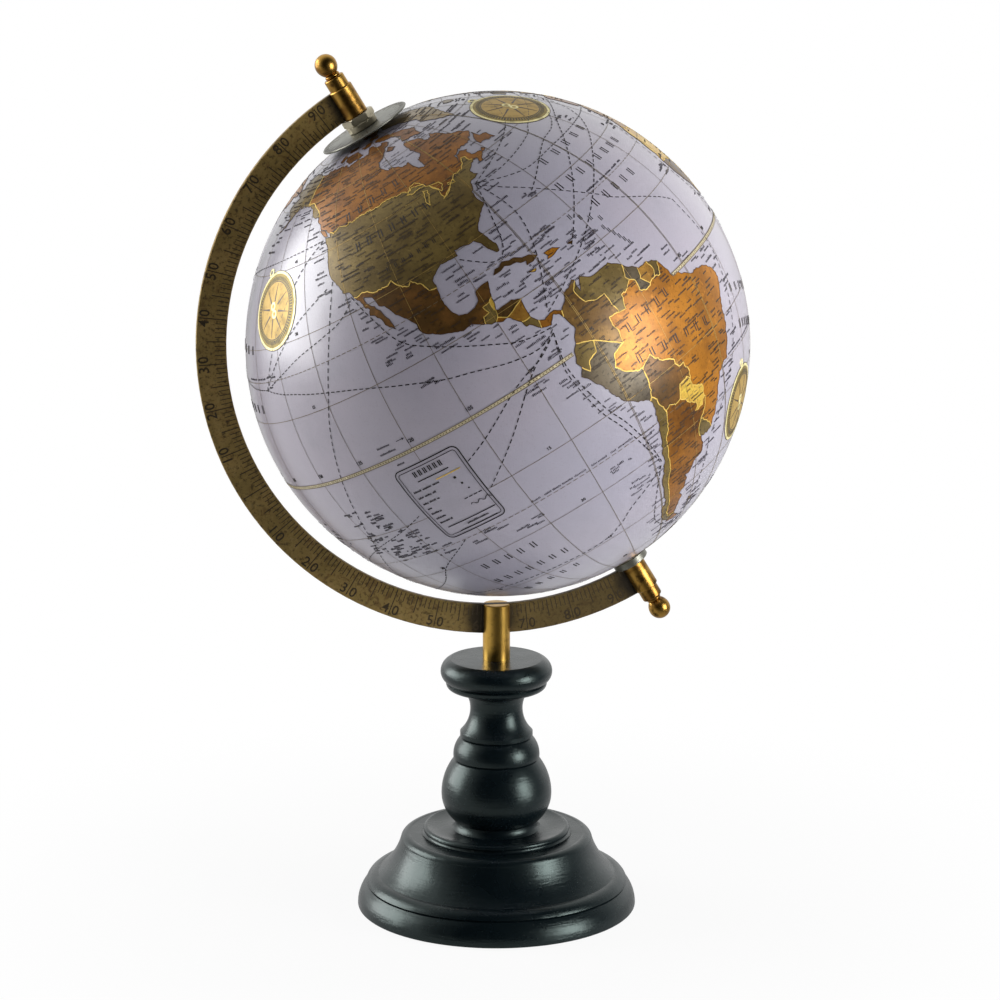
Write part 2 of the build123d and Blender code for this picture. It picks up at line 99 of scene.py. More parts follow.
# Heights of the print above the sea, in millimetres.
LAND_LOW, LAND_HIGH = -0.05, 0.1
LAKE_LOW, LAKE_HIGH = 0.0, 0.14
COAST_LIFT, BORDER_LIFT = 0.16, 0.19
GRID_SEA_LIFT, GRID_LAND_LIFT, TROPIC_LIFT = 0.1, 0.15, 0.17
EQUATOR_MIDDLE_LIFT, EQUATOR_DOT_LIFT, EQUATOR_EDGE_LIFT = 0.12, 0.19, 0.2
ROUTE_LIFT, LEGEND_LIFT, LEGEND_INNER_LIFT, LEGEND_MARK_LIFT = 0.15, 0.17, 0.16, 0.1
LAND_WORD_LIFT, SEA_WORD_LIFT, SEA_TITLE_LIFT = 0.12, 0.03, 0.04
ARROW_LIFT, FIGURE_LIFT = 0.05, 0.06
# Thickness of bars of print, of words and of the arm's engraving, in millimetres.
BAR_THICK, WORD_THICK, ENGRAVING_THICK = 0.16, 0.14, 0.04


def linear(red, green, blue):
    """A colour given in screen values from 0 to 255, as light."""
    return tuple(
        c / 12.92 if c <= 0.04045 else ((c + 0.055) / 1.055) ** 2.4
        for c in (red / 255, green / 255, blue / 255)
    )


# ---------------------------------------------------------------- materials


class Wire:
    """One output socket, with arithmetic that adds Math nodes."""

    def __init__(self, finish, socket):
        self.finish = finish
        self.socket = socket

    def maths(self, operation, other):
        return self.finish.node("ShaderNodeMath", {"operation": operation}, {0: self, 1: other})

    def __add__(self, other):
        return self.maths("ADD", other)

    __radd__ = __add__

    def __rsub__(self, other):
        return self.finish.node("ShaderNodeMath", {"operation": "SUBTRACT"}, {0: other, 1: self})

    def __mul__(self, other):
        return self.maths("MULTIPLY", other)

    def __lt__(self, other):
        return self.maths("LESS_THAN", other)


class Finish:
    """A material, or the world's light, under construction."""

    def __init__(self, name, world=None):
        self.kind = "World" if world else "Material"
        self.material = world or bpy.data.materials.new(name)
        self.material.use_nodes = True
        self.tree = self.material.node_tree
        self.tree.nodes.clear()
        self.place = self.node("ShaderNodeTexCoord", out="Generated" if world else "Object")

    def node(self, kind, settings=None, values=None, out=0):
        """Adds a node: its settings first, then its sockets' values or links."""
        made = self.tree.nodes.new(kind)
        for key, value in (settings or {}).items():
            setattr(made, key, value)
        for key, value in (values or {}).items():
            if isinstance(value, Wire):
                self.tree.links.new(value.socket, made.inputs[key])
            elif made.inputs[key].type == "RGBA" and len(value) == 3:
                made.inputs[key].default_value = (*value, 1)
            else:
                made.inputs[key].default_value = value
        return Wire(self, made.outputs[out])

    def blend(self, mask, first, second):
        """The first colour where the mask is 0 and the second where it is 1."""
        settings = {"data_type": "RGBA"}
        return self.node("ShaderNodeMix", settings, {0: mask, 6: first, 7: second}, out=2)

    def stretch(self, scale):
        """Places for a texture that is this much larger along x, y and z."""
        values = {"Vector": self.place, "Scale": scale}
        return self.node("ShaderNodeMapping", {"vector_type": "TEXTURE"}, values)

    def measure(self, operation, other=(0, 0, 0)):
        """A number from each place and one other vector."""
        values = {0: self.place, 1: tuple(other)}
        return self.node("ShaderNodeVectorMath", {"operation": operation}, values, out="Value")

    def ray(self, kind):
        """1 for light of a kind, such as Camera, and 0 for the rest."""
        return self.node("ShaderNodeLightPath", out=f"Is {kind} Ray")

    def seen(self):
        """1 for what the eye sees, straight or through clear things."""
        return self.ray("Camera").maths("MAXIMUM", self.ray("Transmission"))

    def grain(self, scale, detail=3.0, rough=0.5, where=None, warp=0.0):
        """A noise mask; the scale counts features in each metre."""
        values = {"Vector": where or self.place, "Scale": scale, "Detail": detail}
        values |= {"Roughness": rough, "Distortion": warp}
        return self.node("ShaderNodeTexNoise", {}, values)

    def specks(self, scale, size, where=None):
        """Round specks: one in each cell, of a size from 0 to 1."""
        values = {"Vector": where or self.place, "Scale": scale, "Randomness": 1.0}
        return self.node("ShaderNodeTexVoronoi", {}, values) < size

    def band(self, mask, low, high):
        """A soft step from 0 at low to 1 at high."""
        settings = {"interpolation_type": "SMOOTHSTEP"}
        return self.node("ShaderNodeMapRange", settings, {0: mask, 1: low, 2: high})

    def bump(self, height, depth, strength):
        values = {"Height": height, "Distance": depth, "Strength": strength}
        return self.node("ShaderNodeBump", {}, values)

    def close(self, **sockets):
        """Joins everything to the surface; a socket's name has _ for a space."""
        values = {k.replace("_", " "): v for k, v in sockets.items()}
        surface = self.node("ShaderNodeBsdfPrincipled", {}, values)
        self.node_out(surface)
        return self.material

    def node_out(self, surface):
        out = self.tree.nodes.new("ShaderNodeOutput" + self.kind)
        self.tree.links.new(surface.socket, out.inputs["Surface"])


def paint_material(settings):
    """Satin black brush paint over turned wood."""
    f = Finish("satin black paint")
    broad = f.grain(38, 4)
    around = f.grain(260, 5, 0.6, f.stretch((3, 3, 0.3)))
    nicks = f.grain(900, 2)
    colour = f.blend(broad, settings.paint, linear(12, 20, 23))
    dust = f.specks(520, 0.12) * f.band(broad, 0.5, 0.62)
    colour = f.blend(dust * 0.3, colour, linear(90, 96, 92))
    height = around * 0.7 + nicks * 0.12 + broad * 1.4
    return f.close(
        Base_Color=colour,
        Roughness=0.19 + f.grain(90, 3) * 0.18,
        Normal=f.bump(height, 0.0004, 0.5),
        Specular_IOR_Level=0.45,
        Specular_Tint=(0.8, 1.0, 0.95, 1),
    )


def polished_brass_material(settings, name, age):
    """Polished brass that has begun to darken, more so with age."""
    f = Finish(name)
    bright = tuple(b + (o - b) * age for b, o in zip(settings.brass, settings.old_brass))
    patina = f.grain(110, 5, 0.6, warp=0.5)
    turned = f.grain(2400, 2, 0.5, f.stretch((9, 9, 1)))
    colour = f.blend(f.band(patina, 0.42, 0.64) * age, bright, linear(122, 84, 38))
    spots = f.band(f.grain(330, 3), 0.66 - age * 0.14, 0.74)
    colour = f.blend(spots * age, colour, linear(70, 50, 28))
    return f.close(
        Base_Color=colour,
        Metallic=1.0,
        Roughness=0.19 + patina * 0.14 + turned * 0.04 + age * 0.08,
        Normal=f.bump(patina, 0.00008, 0.4),
    )


def aged_brass_material(settings):
    """Antique brass: olive brown, mottled and speckled, with painted shade towards its lower end
    and painted shadows round the post and the tubes.
    """
    f = Finish("aged brass")
    cloud = f.grain(75, 6, 0.62, warp=0.4)
    fine = f.grain(620, 4, 0.6)
    colour = f.blend(f.band(cloud, 0.38, 0.66), settings.aged, linear(170, 142, 82))
    colour = f.blend(f.band(fine, 0.5, 0.66) * 0.75, colour, linear(74, 60, 34))
    flecks = f.grain(260, 4, 0.7, warp=0.8)
    colour = f.blend(f.band(flecks, 0.54, 0.66) * 0.5, colour, linear(92, 62, 34))
    colour = f.blend(f.band(flecks, 0.44, 0.36) * 0.35, colour, linear(186, 158, 96))
    colour = f.blend(f.specks(420, 0.15) * 0.5, colour, linear(158, 132, 78))
    verdigris = f.specks(370, 0.1, f.stretch((1.1, 1, 1)))
    colour = f.blend(verdigris * 0.4, colour, linear(100, 112, 84))
    rust = f.specks(333, 0.09, f.stretch((1, 1.2, 1)))
    colour = f.blend(rust * 0.4, colour, linear(160, 112, 84))
    # Painted shade: the arm darkens towards its lower end, by the south tube.
    along = f.node("ShaderNodeSeparateXYZ", {}, {0: f.place})
    colour = f.blend(f.band(along + cloud * 0.04, -0.05, 0.06) * 0.75, colour, linear(72, 59, 32))
    # Painted shadow: the arm darkens round the post and the two tubes, where they shade its face.
    for joint in (
        Vector((-0.0025, 0, POST_TOP - 0.006)),
        ARM_CENTRE + POLE * TUBE_REACH + FRONT * MM,
        ARM_CENTRE - POLE * TUBE_REACH,
    ):
        joint_shadow = f.band(f.measure("DISTANCE", joint) + cloud * 0.008, 0.018, 0.011)
        colour = f.blend(joint_shadow * 0.9, colour, linear(30, 24, 16))
    return f.close(
        Base_Color=colour,
        Metallic=0.35,
        Roughness=0.4 + fine * 0.2,
        Normal=f.bump(fine + cloud, 0.0001, 0.4),
    )


def nickel_material(settings):
    """Plated nickel, slightly hazed."""
    f = Finish("nickel plate")
    haze = f.grain(210, 5, 0.6)
    colour = f.blend(haze, settings.nickel, linear(186, 176, 150))
    colour = f.blend(f.band(f.grain(800, 2), 0.63, 0.72) * 0.6, colour, linear(92, 82, 66))
    return f.close(
        Base_Color=colour,
        Metallic=0.75,
        Roughness=0.3 + haze * 0.2,
        Normal=f.bump(f.grain(1500, 2), 0.00002, 0.3),
    )


def dial_material(settings):
    """Thin plated dial with turned rings; its plate is darker than the nut's, as painted shade."""
    f = Finish("dial plate")
    haze = f.grain(210, 5, 0.6)
    apart = f.measure("DISTANCE", ARM_CENTRE + POLE * DIAL_REACH)
    settings_1d = {"noise_dimensions": "1D"}
    rings = f.node("ShaderNodeTexNoise", settings_1d, {"W": apart, "Scale": 3000})
    rings = f.band(rings, 0.4, 0.7)
    # Painted shade: a darker copy of the nickel plate, used on the dial and the south collar.
    colour = f.blend(haze, settings.dial, linear(126, 126, 116))
    colour = f.blend(rings * 0.35, colour, linear(92, 92, 84))
    return f.close(
        Base_Color=colour, Metallic=0.8, Roughness=0.3 + haze * 0.2,
        Normal=f.bump(rings, 0.00002, 0.3),
    )


def steel_material():
    """Zinc plated steel of the hidden rod, washer and nut."""
    f = Finish("zinc plated steel")
    flakes = f.node("ShaderNodeTexVoronoi", {}, {"Vector": f.place, "Scale": 700}, out="Color")
    grey = f.grain(300, 4)
    colour = f.blend(grey, linear(170, 172, 174), linear(120, 122, 126))
    colour = f.blend(0.12, colour, flakes)
    return f.close(
        Base_Color=colour, Metallic=1.0, Roughness=0.3 + grey * 0.2,
        Normal=f.bump(grey, 0.00005, 0.4),
    )


def felt_material():
    """Dark green pressed felt."""
    f = Finish("pressed felt")
    fibre = f.grain(2600, 4, 0.7, warp=1.5)
    cloud = f.grain(120, 3)
    colour = f.blend(fibre, linear(20, 34, 28), linear(52, 72, 60))
    colour = f.blend(cloud * 0.3, colour, linear(30, 38, 34))
    return f.close(
        Base_Color=colour, Roughness=0.95, Normal=f.bump(fibre, 0.0003, 0.8),
        Specular_IOR_Level=0.2, Sheen_Weight=0.3,
    )


def nylon_material():
    """Off-white moulded nylon of the thrust washer."""
    f = Finish("moulded nylon")
    cloud = f.grain(500, 3)
    return f.close(
        Base_Color=f.blend(cloud, linear(226, 222, 208), linear(206, 200, 184)),
        Roughness=0.42 + cloud * 0.1,
        Normal=f.bump(cloud, 0.00003, 0.3),
    )


def board_material():
    """Grey pressed board inside the ball."""
    f = Finish("pressed board")
    pulp = f.grain(900, 5, 0.7)
    lumps = f.grain(90, 3)
    colour = f.blend(pulp, linear(150, 138, 118), linear(186, 174, 152))
    return f.close(
        Base_Color=f.blend(lumps * 0.4, colour, linear(128, 116, 98)),
        Roughness=0.9,
        Normal=f.bump(pulp, 0.0002, 0.6),
    )


def ocean_material(settings):
    """Printed and varnished paper of the sea."""
    f = Finish("printed sea")
    tint = f.grain(9, 3)
    stain = f.grain(34, 5, 0.6)
    paper = f.grain(1300, 3, 0.6)
    colour = f.blend(f.band(tint, 0.35, 0.65), settings.sea, linear(178, 171, 184))
    colour = f.blend(f.band(stain, 0.5, 0.75) * 0.4, colour, linear(154, 152, 164))
    colour = f.blend(f.band(paper, 0.55, 0.75) * 0.3, colour, linear(152, 146, 154))
    return f.close(
        Base_Color=colour,
        Roughness=0.36 + stain * 0.12,
        Normal=f.bump(paper + stain * 2.0, 0.00003, 0.35),
        Coat_Weight=1.0,
        Coat_Roughness=0.26,
    )


TINTS = {
    "copper": ((158, 102, 32), (114, 70, 22)),
    "copper_bright": ((190, 124, 34), (154, 98, 26)),
    "umber": ((108, 80, 42), (78, 58, 30)),
    "umber_light": ((142, 108, 56), (108, 80, 42)),
    "amber_dark": ((134, 92, 44), (92, 66, 32)),
    "slate": ((108, 96, 76), (80, 70, 54)),
    "amber": ((186, 138, 58), (146, 104, 42)),
    "gold": ((236, 196, 84), (196, 150, 60)),
    "olive": ((134, 114, 64), (106, 88, 48)),
    "tan": ((164, 142, 98), (132, 112, 74)),
}


def land_material(name, light, dark):
    """Printed land: mottled, speckled and a little metallic."""
    f = Finish("land " + name)
    broad = f.grain(60, 5, 0.6)
    fine = f.grain(700, 4, 0.65)
    colour = f.blend(f.band(broad, 0.35, 0.65), linear(*light), linear(*dark))
    colour = f.blend(f.band(fine, 0.52, 0.72) * 0.55, colour, linear(*(c * 0.5 for c in dark)))
    brighter = linear(*(min(c * 1.25, 255) for c in light))
    colour = f.blend(f.band(f.grain(420, 3), 0.6, 0.72) * 0.3, colour, brighter)
    return f.close(
        Base_Color=colour, Metallic=0.34, Roughness=0.29 + fine * 0.13,
        Specular_IOR_Level=0.3, Coat_Weight=0.2, Coat_Roughness=0.26,
    )


def ink_material(name, colour):
    """Printed ink under the varnish."""
    f = Finish(name)
    worn = f.band(f.grain(900, 3), 0.5, 0.8)
    lighter = tuple(min(c * 1.8 + 0.02, 1.0) for c in colour)
    return f.close(Base_Color=f.blend(worn * 0.6, colour, lighter), Roughness=0.42 + worn * 0.1)


def foil_material(name, colour):
    """Gold foil print."""
    f = Finish(name)
    shine = f.grain(240, 4, 0.6)
    darker = tuple(c * 0.62 for c in colour)
    return f.close(
        Base_Color=f.blend(f.band(shine, 0.45, 0.7), colour, darker),
        Metallic=0.4, Roughness=0.42 + shine * 0.12,
    )


# ------------------------------------------------------------------- pieces


def cut(shape, place, normal, clear=False):
    """Cuts a whole shape on a plane and returns the edges on the cut."""
    made = bmesh.ops.bisect_plane(
        shape, geom=shape.verts[:] + shape.edges[:] + shape.faces[:],
        plane_co=place, plane_no=normal, clear_outer=clear,
    )
    return [e for e in made["geom_cut"] if isinstance(e, bmesh.types.BMEdge)]


def joined_to(start, neighbours):
    """Everything that can be reached from the start."""
    found, waiting = {start}, [start]
    while waiting:
        for near in neighbours(waiting.pop()):
            if near not in found:
                found.add(near)
                waiting.append(near)
    return found


def faces_of(verts):
    return {face for vert in verts for face in vert.link_faces}


def tint_faces(faces, tint):
    for face in faces:
        face.material_index = tint


def axes_at(east, north, out, here):
    """A matrix whose x, y and z axes are the three directions, at a place."""
    axes = Matrix((east, north, out)).transposed().to_4x4()
    axes.translation = here
    return axes


def mesh_from(curve):
    """The mesh of a curve or a text."""
    drawn = bpy.data.objects.new("drawn", curve)
    bpy.context.scene.collection.objects.link(drawn)
    graph = bpy.context.evaluated_depsgraph_get()
    mesh = bpy.data.meshes.new_from_object(drawn.evaluated_get(graph))
    bpy.data.objects.remove(drawn)
    return mesh


def print_piece(name, shape, *materials):
    """A piece of the print on the ball."""
    return make_piece(name, shape, "globe", "printed_ball", materials)


def make_piece(name, shape, body, slot, materials, stands_for=()):
    """Turns a bmesh into a named piece that rides on a body."""
    mesh = bpy.data.meshes.new(name)
    shape.to_mesh(mesh)
    shape.free()
    if slot == "printed_ball" and not stands_for:
        mesh.shade_smooth()
        mesh.normals_split_custom_set_from_vertices(
            [(vert.co - BALL_CENTRE).normalized() for vert in mesh.vertices]
        )
    piece = bpy.data.objects.new(name, mesh)
    bpy.context.scene.collection.objects.link(piece)
    for material in materials:
        mesh.materials.append(material)
    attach(piece, body)
    if stands_for:
        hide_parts(*stands_for)
    return piece


def tone(name, description, *screen):
    """A colour setting."""
    return bpy.props.FloatVectorProperty(
        name=name, description=description, default=linear(*screen),
        subtype="COLOR", size=3, min=0, max=1,
    )


class GlobeFinishes(bpy.types.PropertyGroup):
    """Colours of the metals and the paint."""

    paint: tone("Paint", "Black paint of the stand", 5, 13, 18)
    brass: tone("Brass", "Polished brass of the post", 234, 190, 94)
    old_brass: tone("Old brass", "Darker brass of the tubes and the finials", 168, 128, 60)
    aged: tone("Aged brass", "Dark antique brass of the arm", 154, 130, 72)
    nickel: tone("Nickel", "Plated nickel of the nut and collars", 222, 214, 188)
    # The dial plate is darker than the nickel, as painted shade on the dial and the south collar.
    dial: tone("Dial", "Plate of the dial", 140, 140, 130)


class GlobeBall(bpy.types.PropertyGroup):
    """Sizes and colours of the ball."""

    sea: tone("Sea", "Lavender of the sea", 171, 168, 183)
    rings: bpy.props.IntProperty(
        name="Rings", description="Rings of faces from pole to pole", default=128, min=16
    )


def width(name, description, default):
    """A line width setting, in millimetres."""
    return bpy.props.FloatProperty(name=name, description=description, default=default, min=0.05)


class GlobePrint(bpy.types.PropertyGroup):
    """Colours and widths of the print, widths in millimetres."""

    coast: tone("Coast", "Ink of the coasts", 74, 52, 36)
    foil: tone("Foil", "Gold of the borders", 246, 208, 104)
    grid: tone("Grid", "Ink of the grid over the sea", 114, 100, 74)
    grid_foil: tone("Grid foil", "Gold of the grid over land", 178, 146, 80)
    cream: tone("Cream", "Middle of the equator", 196, 184, 150)
    ink: tone("Ink", "Dark ink of the print", 44, 38, 38)
    ink_sea: tone("Sea ink", "Ink of the fine print on the sea", 72, 67, 76)
    ink_land: tone("Land ink", "Ink of the fine print on land", 62, 48, 32)
    rose: tone("Rose", "Gold band of the compass roses", 152, 132, 66)
    rose_tan: tone("Rose tan", "Field of the compass roses", 186, 154, 80)
    rose_ink: tone("Rose ink", "Dark lines of the compass roses", 66, 50, 26)
    rose_cream: tone("Rose cream", "Bright rings of the compass roses", 250, 238, 176)
    coast_width: width("Coast width", "Width of a coast line", 0.3)
    border_width: width("Border width", "Width of a border line", 0.4)
    grid_width: width("Grid width", "Width of a grid line", 0.22)
    route_width: width("Route width", "Width of a route's dashes", 0.4)
    words: bpy.props.IntProperty(name="Words", description="How much fine print", default=2600)


class GlobeArm(bpy.types.PropertyGroup):
    """The scale on the arm."""

    inner: bpy.props.FloatProperty(
        name="Inner radius", description="Radius of the arm's inner edge",
        default=108.8 * MM, unit="LENGTH",
    )
    pitch: bpy.props.FloatProperty(
        name="Pitch", description="Angle of one mark of the scale, in degrees", default=0.93
    )
    figure: bpy.props.FloatProperty(
        name="Figure size", description="Type size of the figures", default=5.8 * MM, unit="LENGTH"
    )
    engraving: tone("Engraving", "Dark fill of the marks", 58, 46, 25)


def power(name, description, default):
    """A lamp's power setting."""
    return bpy.props.FloatProperty(
        name=name, description=description, default=default, unit="POWER"
    )


class GlobeStage(bpy.types.PropertyGroup):
    """Floor, lamps and camera."""

    key: power("Key lamp", "Lamp to the right, a little towards the viewer", 17)
    fill: power("Fill lamp", "Lamp to the left, behind the globe", 17)
    front: power("Front lamp", "Lamp high above the viewer", 2.3)
    side: power("Side lamp", "Lamp straight to the right", 8)
    lens: bpy.props.FloatProperty(
        name="Lens", description="Focal length of the camera", default=136.17, unit="CAMERA"
    )


# ---------------------------------------------------------------- the map
# Every chain is a run of "latitude longitude" places in degrees. Neighbours
# share their border chains, so they meet without a gap.

COASTS = {
    "alaska": "69.6 -141, 70.1 -145, 70.8 -151, 71.3 -156.5, 70.3 -161.5, 69 -163.5,"
    "68.3 -166.5, 67.1 -163.7, 66.3 -161.8, 66.6 -164.5, 65.6 -168, 64.5 -165.4, 64.4 -161.2,"
    "63.4 -161.5, 62.5 -165, 61 -165.8, 60 -164.5, 59.9 -162, 58.7 -161.8, 58.8 -158.6,"
    "57.5 -157.7, 56 -160.5, 55 -163, 54.6 -164.8, 55.3 -162, 56 -158.5, 57.5 -156,"
    "58.8 -153.5, 59.3 -152, 60.7 -151.5, 61.2 -150, 60 -149, 60.8 -146.5, 60 -144,"
    "59.6 -139.6, 58.2 -136.3, 57 -135.5, 55.6 -133.4, 54.9 -131.5, 55 -130.1",
    "canada_north": "69.6 -141, 69.2 -137, 69.9 -133, 70.2 -129, 69.5 -125, 69.8 -121,"
    "68.9 -116, 67.8 -114.5, 68 -109.5, 68.3 -105, 67.9 -101, 68.3 -97.5, 69.7 -96, 71.5 -94.5,"
    "70.2 -91.8, 68.9 -90.3, 68.5 -88, 69.5 -85, 69.3 -82, 67.8 -81.5, 66.5 -84.5, 66.3 -86.5,"
    "65 -87.5, 64 -89, 63 -91, 61.5 -94, 60 -94.8, 58.8 -94.3, 57.3 -92.5, 56.9 -89,"
    "55.7 -86.5, 55.2 -83, 52.8 -82.2, 51.5 -80.4, 51.3 -79.3, 52.8 -78.8, 54.5 -79.6,"
    "56 -77.2, 57.8 -77, 58.8 -78.5, 60 -77.3, 61.3 -77.8, 62.4 -77.7, 62.5 -74.5, 61.8 -72.5,"
    "61 -70, 58.8 -69, 58.4 -67.5, 58.8 -66, 60.3 -64.6, 57.5 -61.8, 55.8 -60.3, 54.2 -57.5,"
    "52.5 -55.8, 51.5 -56.8, 50.2 -59.8, 50.1 -64, 49.9 -66.8, 48.8 -69.2, 47.2 -70.5,"
    "48.6 -68.7, 49.1 -66, 48.5 -64.3, 47.8 -65.5, 46.6 -64.8, 45.9 -63.5, 45.8 -61.5,"
    "47 -60.6, 45.8 -60, 44.7 -63.5, 43.5 -65.5, 44 -66.2, 45.2 -65, 45.1 -67",
    "canada_west": "55 -130.1, 53.8 -130.2, 52.3 -128, 51 -127.6, 50.2 -125.3, 49 -123",
    "usa_west": "49 -123, 48.2 -122.6, 48.4 -124.7, 46.3 -124, 43 -124.5, 40.4 -124.4,"
    "38 -123, 36.6 -122, 34.5 -120.6, 33.8 -118.3, 32.5 -117.1",
    "usa_east": "45.1 -67, 44.4 -68.5, 43.6 -70.3, 42.3 -70.9, 41.8 -70, 41.4 -71.5,"
    "41 -73.5, 40.5 -74, 39.3 -74.6, 38.9 -75.3, 37 -76, 35.3 -75.6, 34.6 -77, 33.9 -78.2,"
    "32.5 -80.2, 31 -81.4, 29 -80.9, 27 -80.1, 25.3 -80.4, 25.3 -81.2, 26.8 -82.3, 28.5 -82.7,"
    "30 -84, 29.8 -85.3, 30.4 -87.2, 30.3 -89, 29.1 -89.4, 29.4 -91.5, 29.7 -93.8, 28.9 -95.5,"
    "27.6 -97.3, 25.9 -97.2",
    "mexico_west": "32.5 -117.1, 30.5 -116, 28.8 -114.5, 27.8 -115, 26.4 -112.7, 24.8 -112.2,"
    "22.9 -109.9, 24.3 -110.5, 26.5 -111.4, 28.5 -112.8, 30.5 -114.6, 31.8 -114.8, 31 -113,"
    "28.8 -111.9, 27 -109.8, 25.5 -108.9, 23.2 -106.4, 21.5 -105.4, 20.4 -105.6, 19 -104.3,"
    "18 -102.2, 16.9 -99.9, 15.8 -97, 16.1 -94.8, 14.6 -92.3",
    "mexico_east": "25.9 -97.2, 24 -97.7, 22.3 -97.8, 20.5 -97, 19 -96, 18.2 -94.5,"
    "18.5 -92.5, 19.5 -90.7, 21 -90.3, 21.6 -88, 21.5 -86.8, 20 -87.5, 18.5 -88.2",
    "belize_east": "18.5 -88.2, 17 -88.3, 15.9 -88.9",
    "guatemala_south": "14.6 -92.3, 13.9 -91.2, 13.8 -90.1",
    "salvador_south": "13.8 -90.1, 13.2 -88.9, 13.4 -87.8",
    "honduras_north": "15.9 -88.9, 15.7 -88.3, 15.8 -86.5, 15.9 -85, 15 -83.2",
    "nicaragua_east": "15 -83.2, 12.8 -83.6, 11 -83.7",
    "nicaragua_west": "13.4 -87.8, 13 -87.3, 12 -86.6, 11.1 -85.7",
    "costa_east": "11 -83.7, 9.6 -82.6",
    "costa_west": "11.1 -85.7, 9.8 -85.4, 9.9 -84.6, 8.5 -83.4, 8.1 -82.9",
    "panama_north": "9.6 -82.6, 8.9 -81.5, 9.4 -79.8, 9.5 -78.8, 8.7 -77.4",
    "panama_south": "8.1 -82.9, 7.3 -80.9, 8.2 -80.2, 8.9 -79.3, 8.2 -78.2, 7.3 -77.9",
    "colombia_north": "8.7 -77.4, 9.6 -75.6, 11 -74.8, 11.4 -73.2, 12.3 -71.8, 11.8 -71.3",
    "colombia_west": "7.3 -77.9, 5.5 -77.4, 3.8 -77.2, 2.6 -78.3, 1.4 -78.8",
    "venezuela_north": "11.8 -71.3, 10.9 -71.6, 9.3 -71.5, 11.2 -70.6, 12.1 -70, 11.3 -68.8,"
    "10.5 -67.8, 10.5 -65, 10.6 -62.3, 9.8 -61.8, 8.6 -60",
    "guyana_north": "8.6 -60, 6.8 -58.2, 6 -57.2",
    "surinam_north": "6 -57.2, 5.8 -54.1",
    "guiana_north": "5.8 -54.1, 4.8 -52.2, 4.2 -51.6",
    "brazil_east": "4.2 -51.6, 1.8 -50, 0 -50, -0.6 -48, -1.2 -46.2, -2.7 -44.3, -2.8 -41.5,"
    "-3 -39.5, -5 -36.5, -5.5 -35.2, -8 -34.8, -10 -36.2, -13 -38.5, -16 -39, -18 -39.7,"
    "-21 -40.9, -22.9 -42, -23.1 -44.3, -24.5 -47, -26.2 -48.6, -28.7 -49, -31 -50.8,"
    "-33.7 -53.4",
    "uruguay_south": "-33.7 -53.4, -34.9 -55, -34.8 -56.3, -34 -58.4",
    "argentina_east": "-34 -58.4, -34.9 -57.8, -36.3 -56.7, -38.2 -57.7, -39 -61.5, -40.9 -62.4,"
    "-41.1 -65, -42.6 -64, -45 -65.6, -46 -67.5, -47.7 -65.8, -50 -67.8, -52.4 -68.4",
    "chile_west": "-18.3 -70.4, -21 -70.1, -25 -70.5, -29 -71.3, -33 -71.6, -37 -73.4, -40 -73.7,"
    "-42 -73.9, -44 -73, -46.5 -75, -50 -75.3, -52.5 -74.5, -53.8 -71.5, -52.4 -68.4",
    "peru_west": "-3.4 -80.3, -5 -81.2, -6.9 -79.9, -9.3 -78.4, -12 -77.1, -14 -76.3, -16 -74,"
    "-17.3 -71.5, -18.3 -70.4",
    "ecuador_west": "1.4 -78.8, 0.2 -80, -2.2 -80.9, -3.4 -80.3",
}

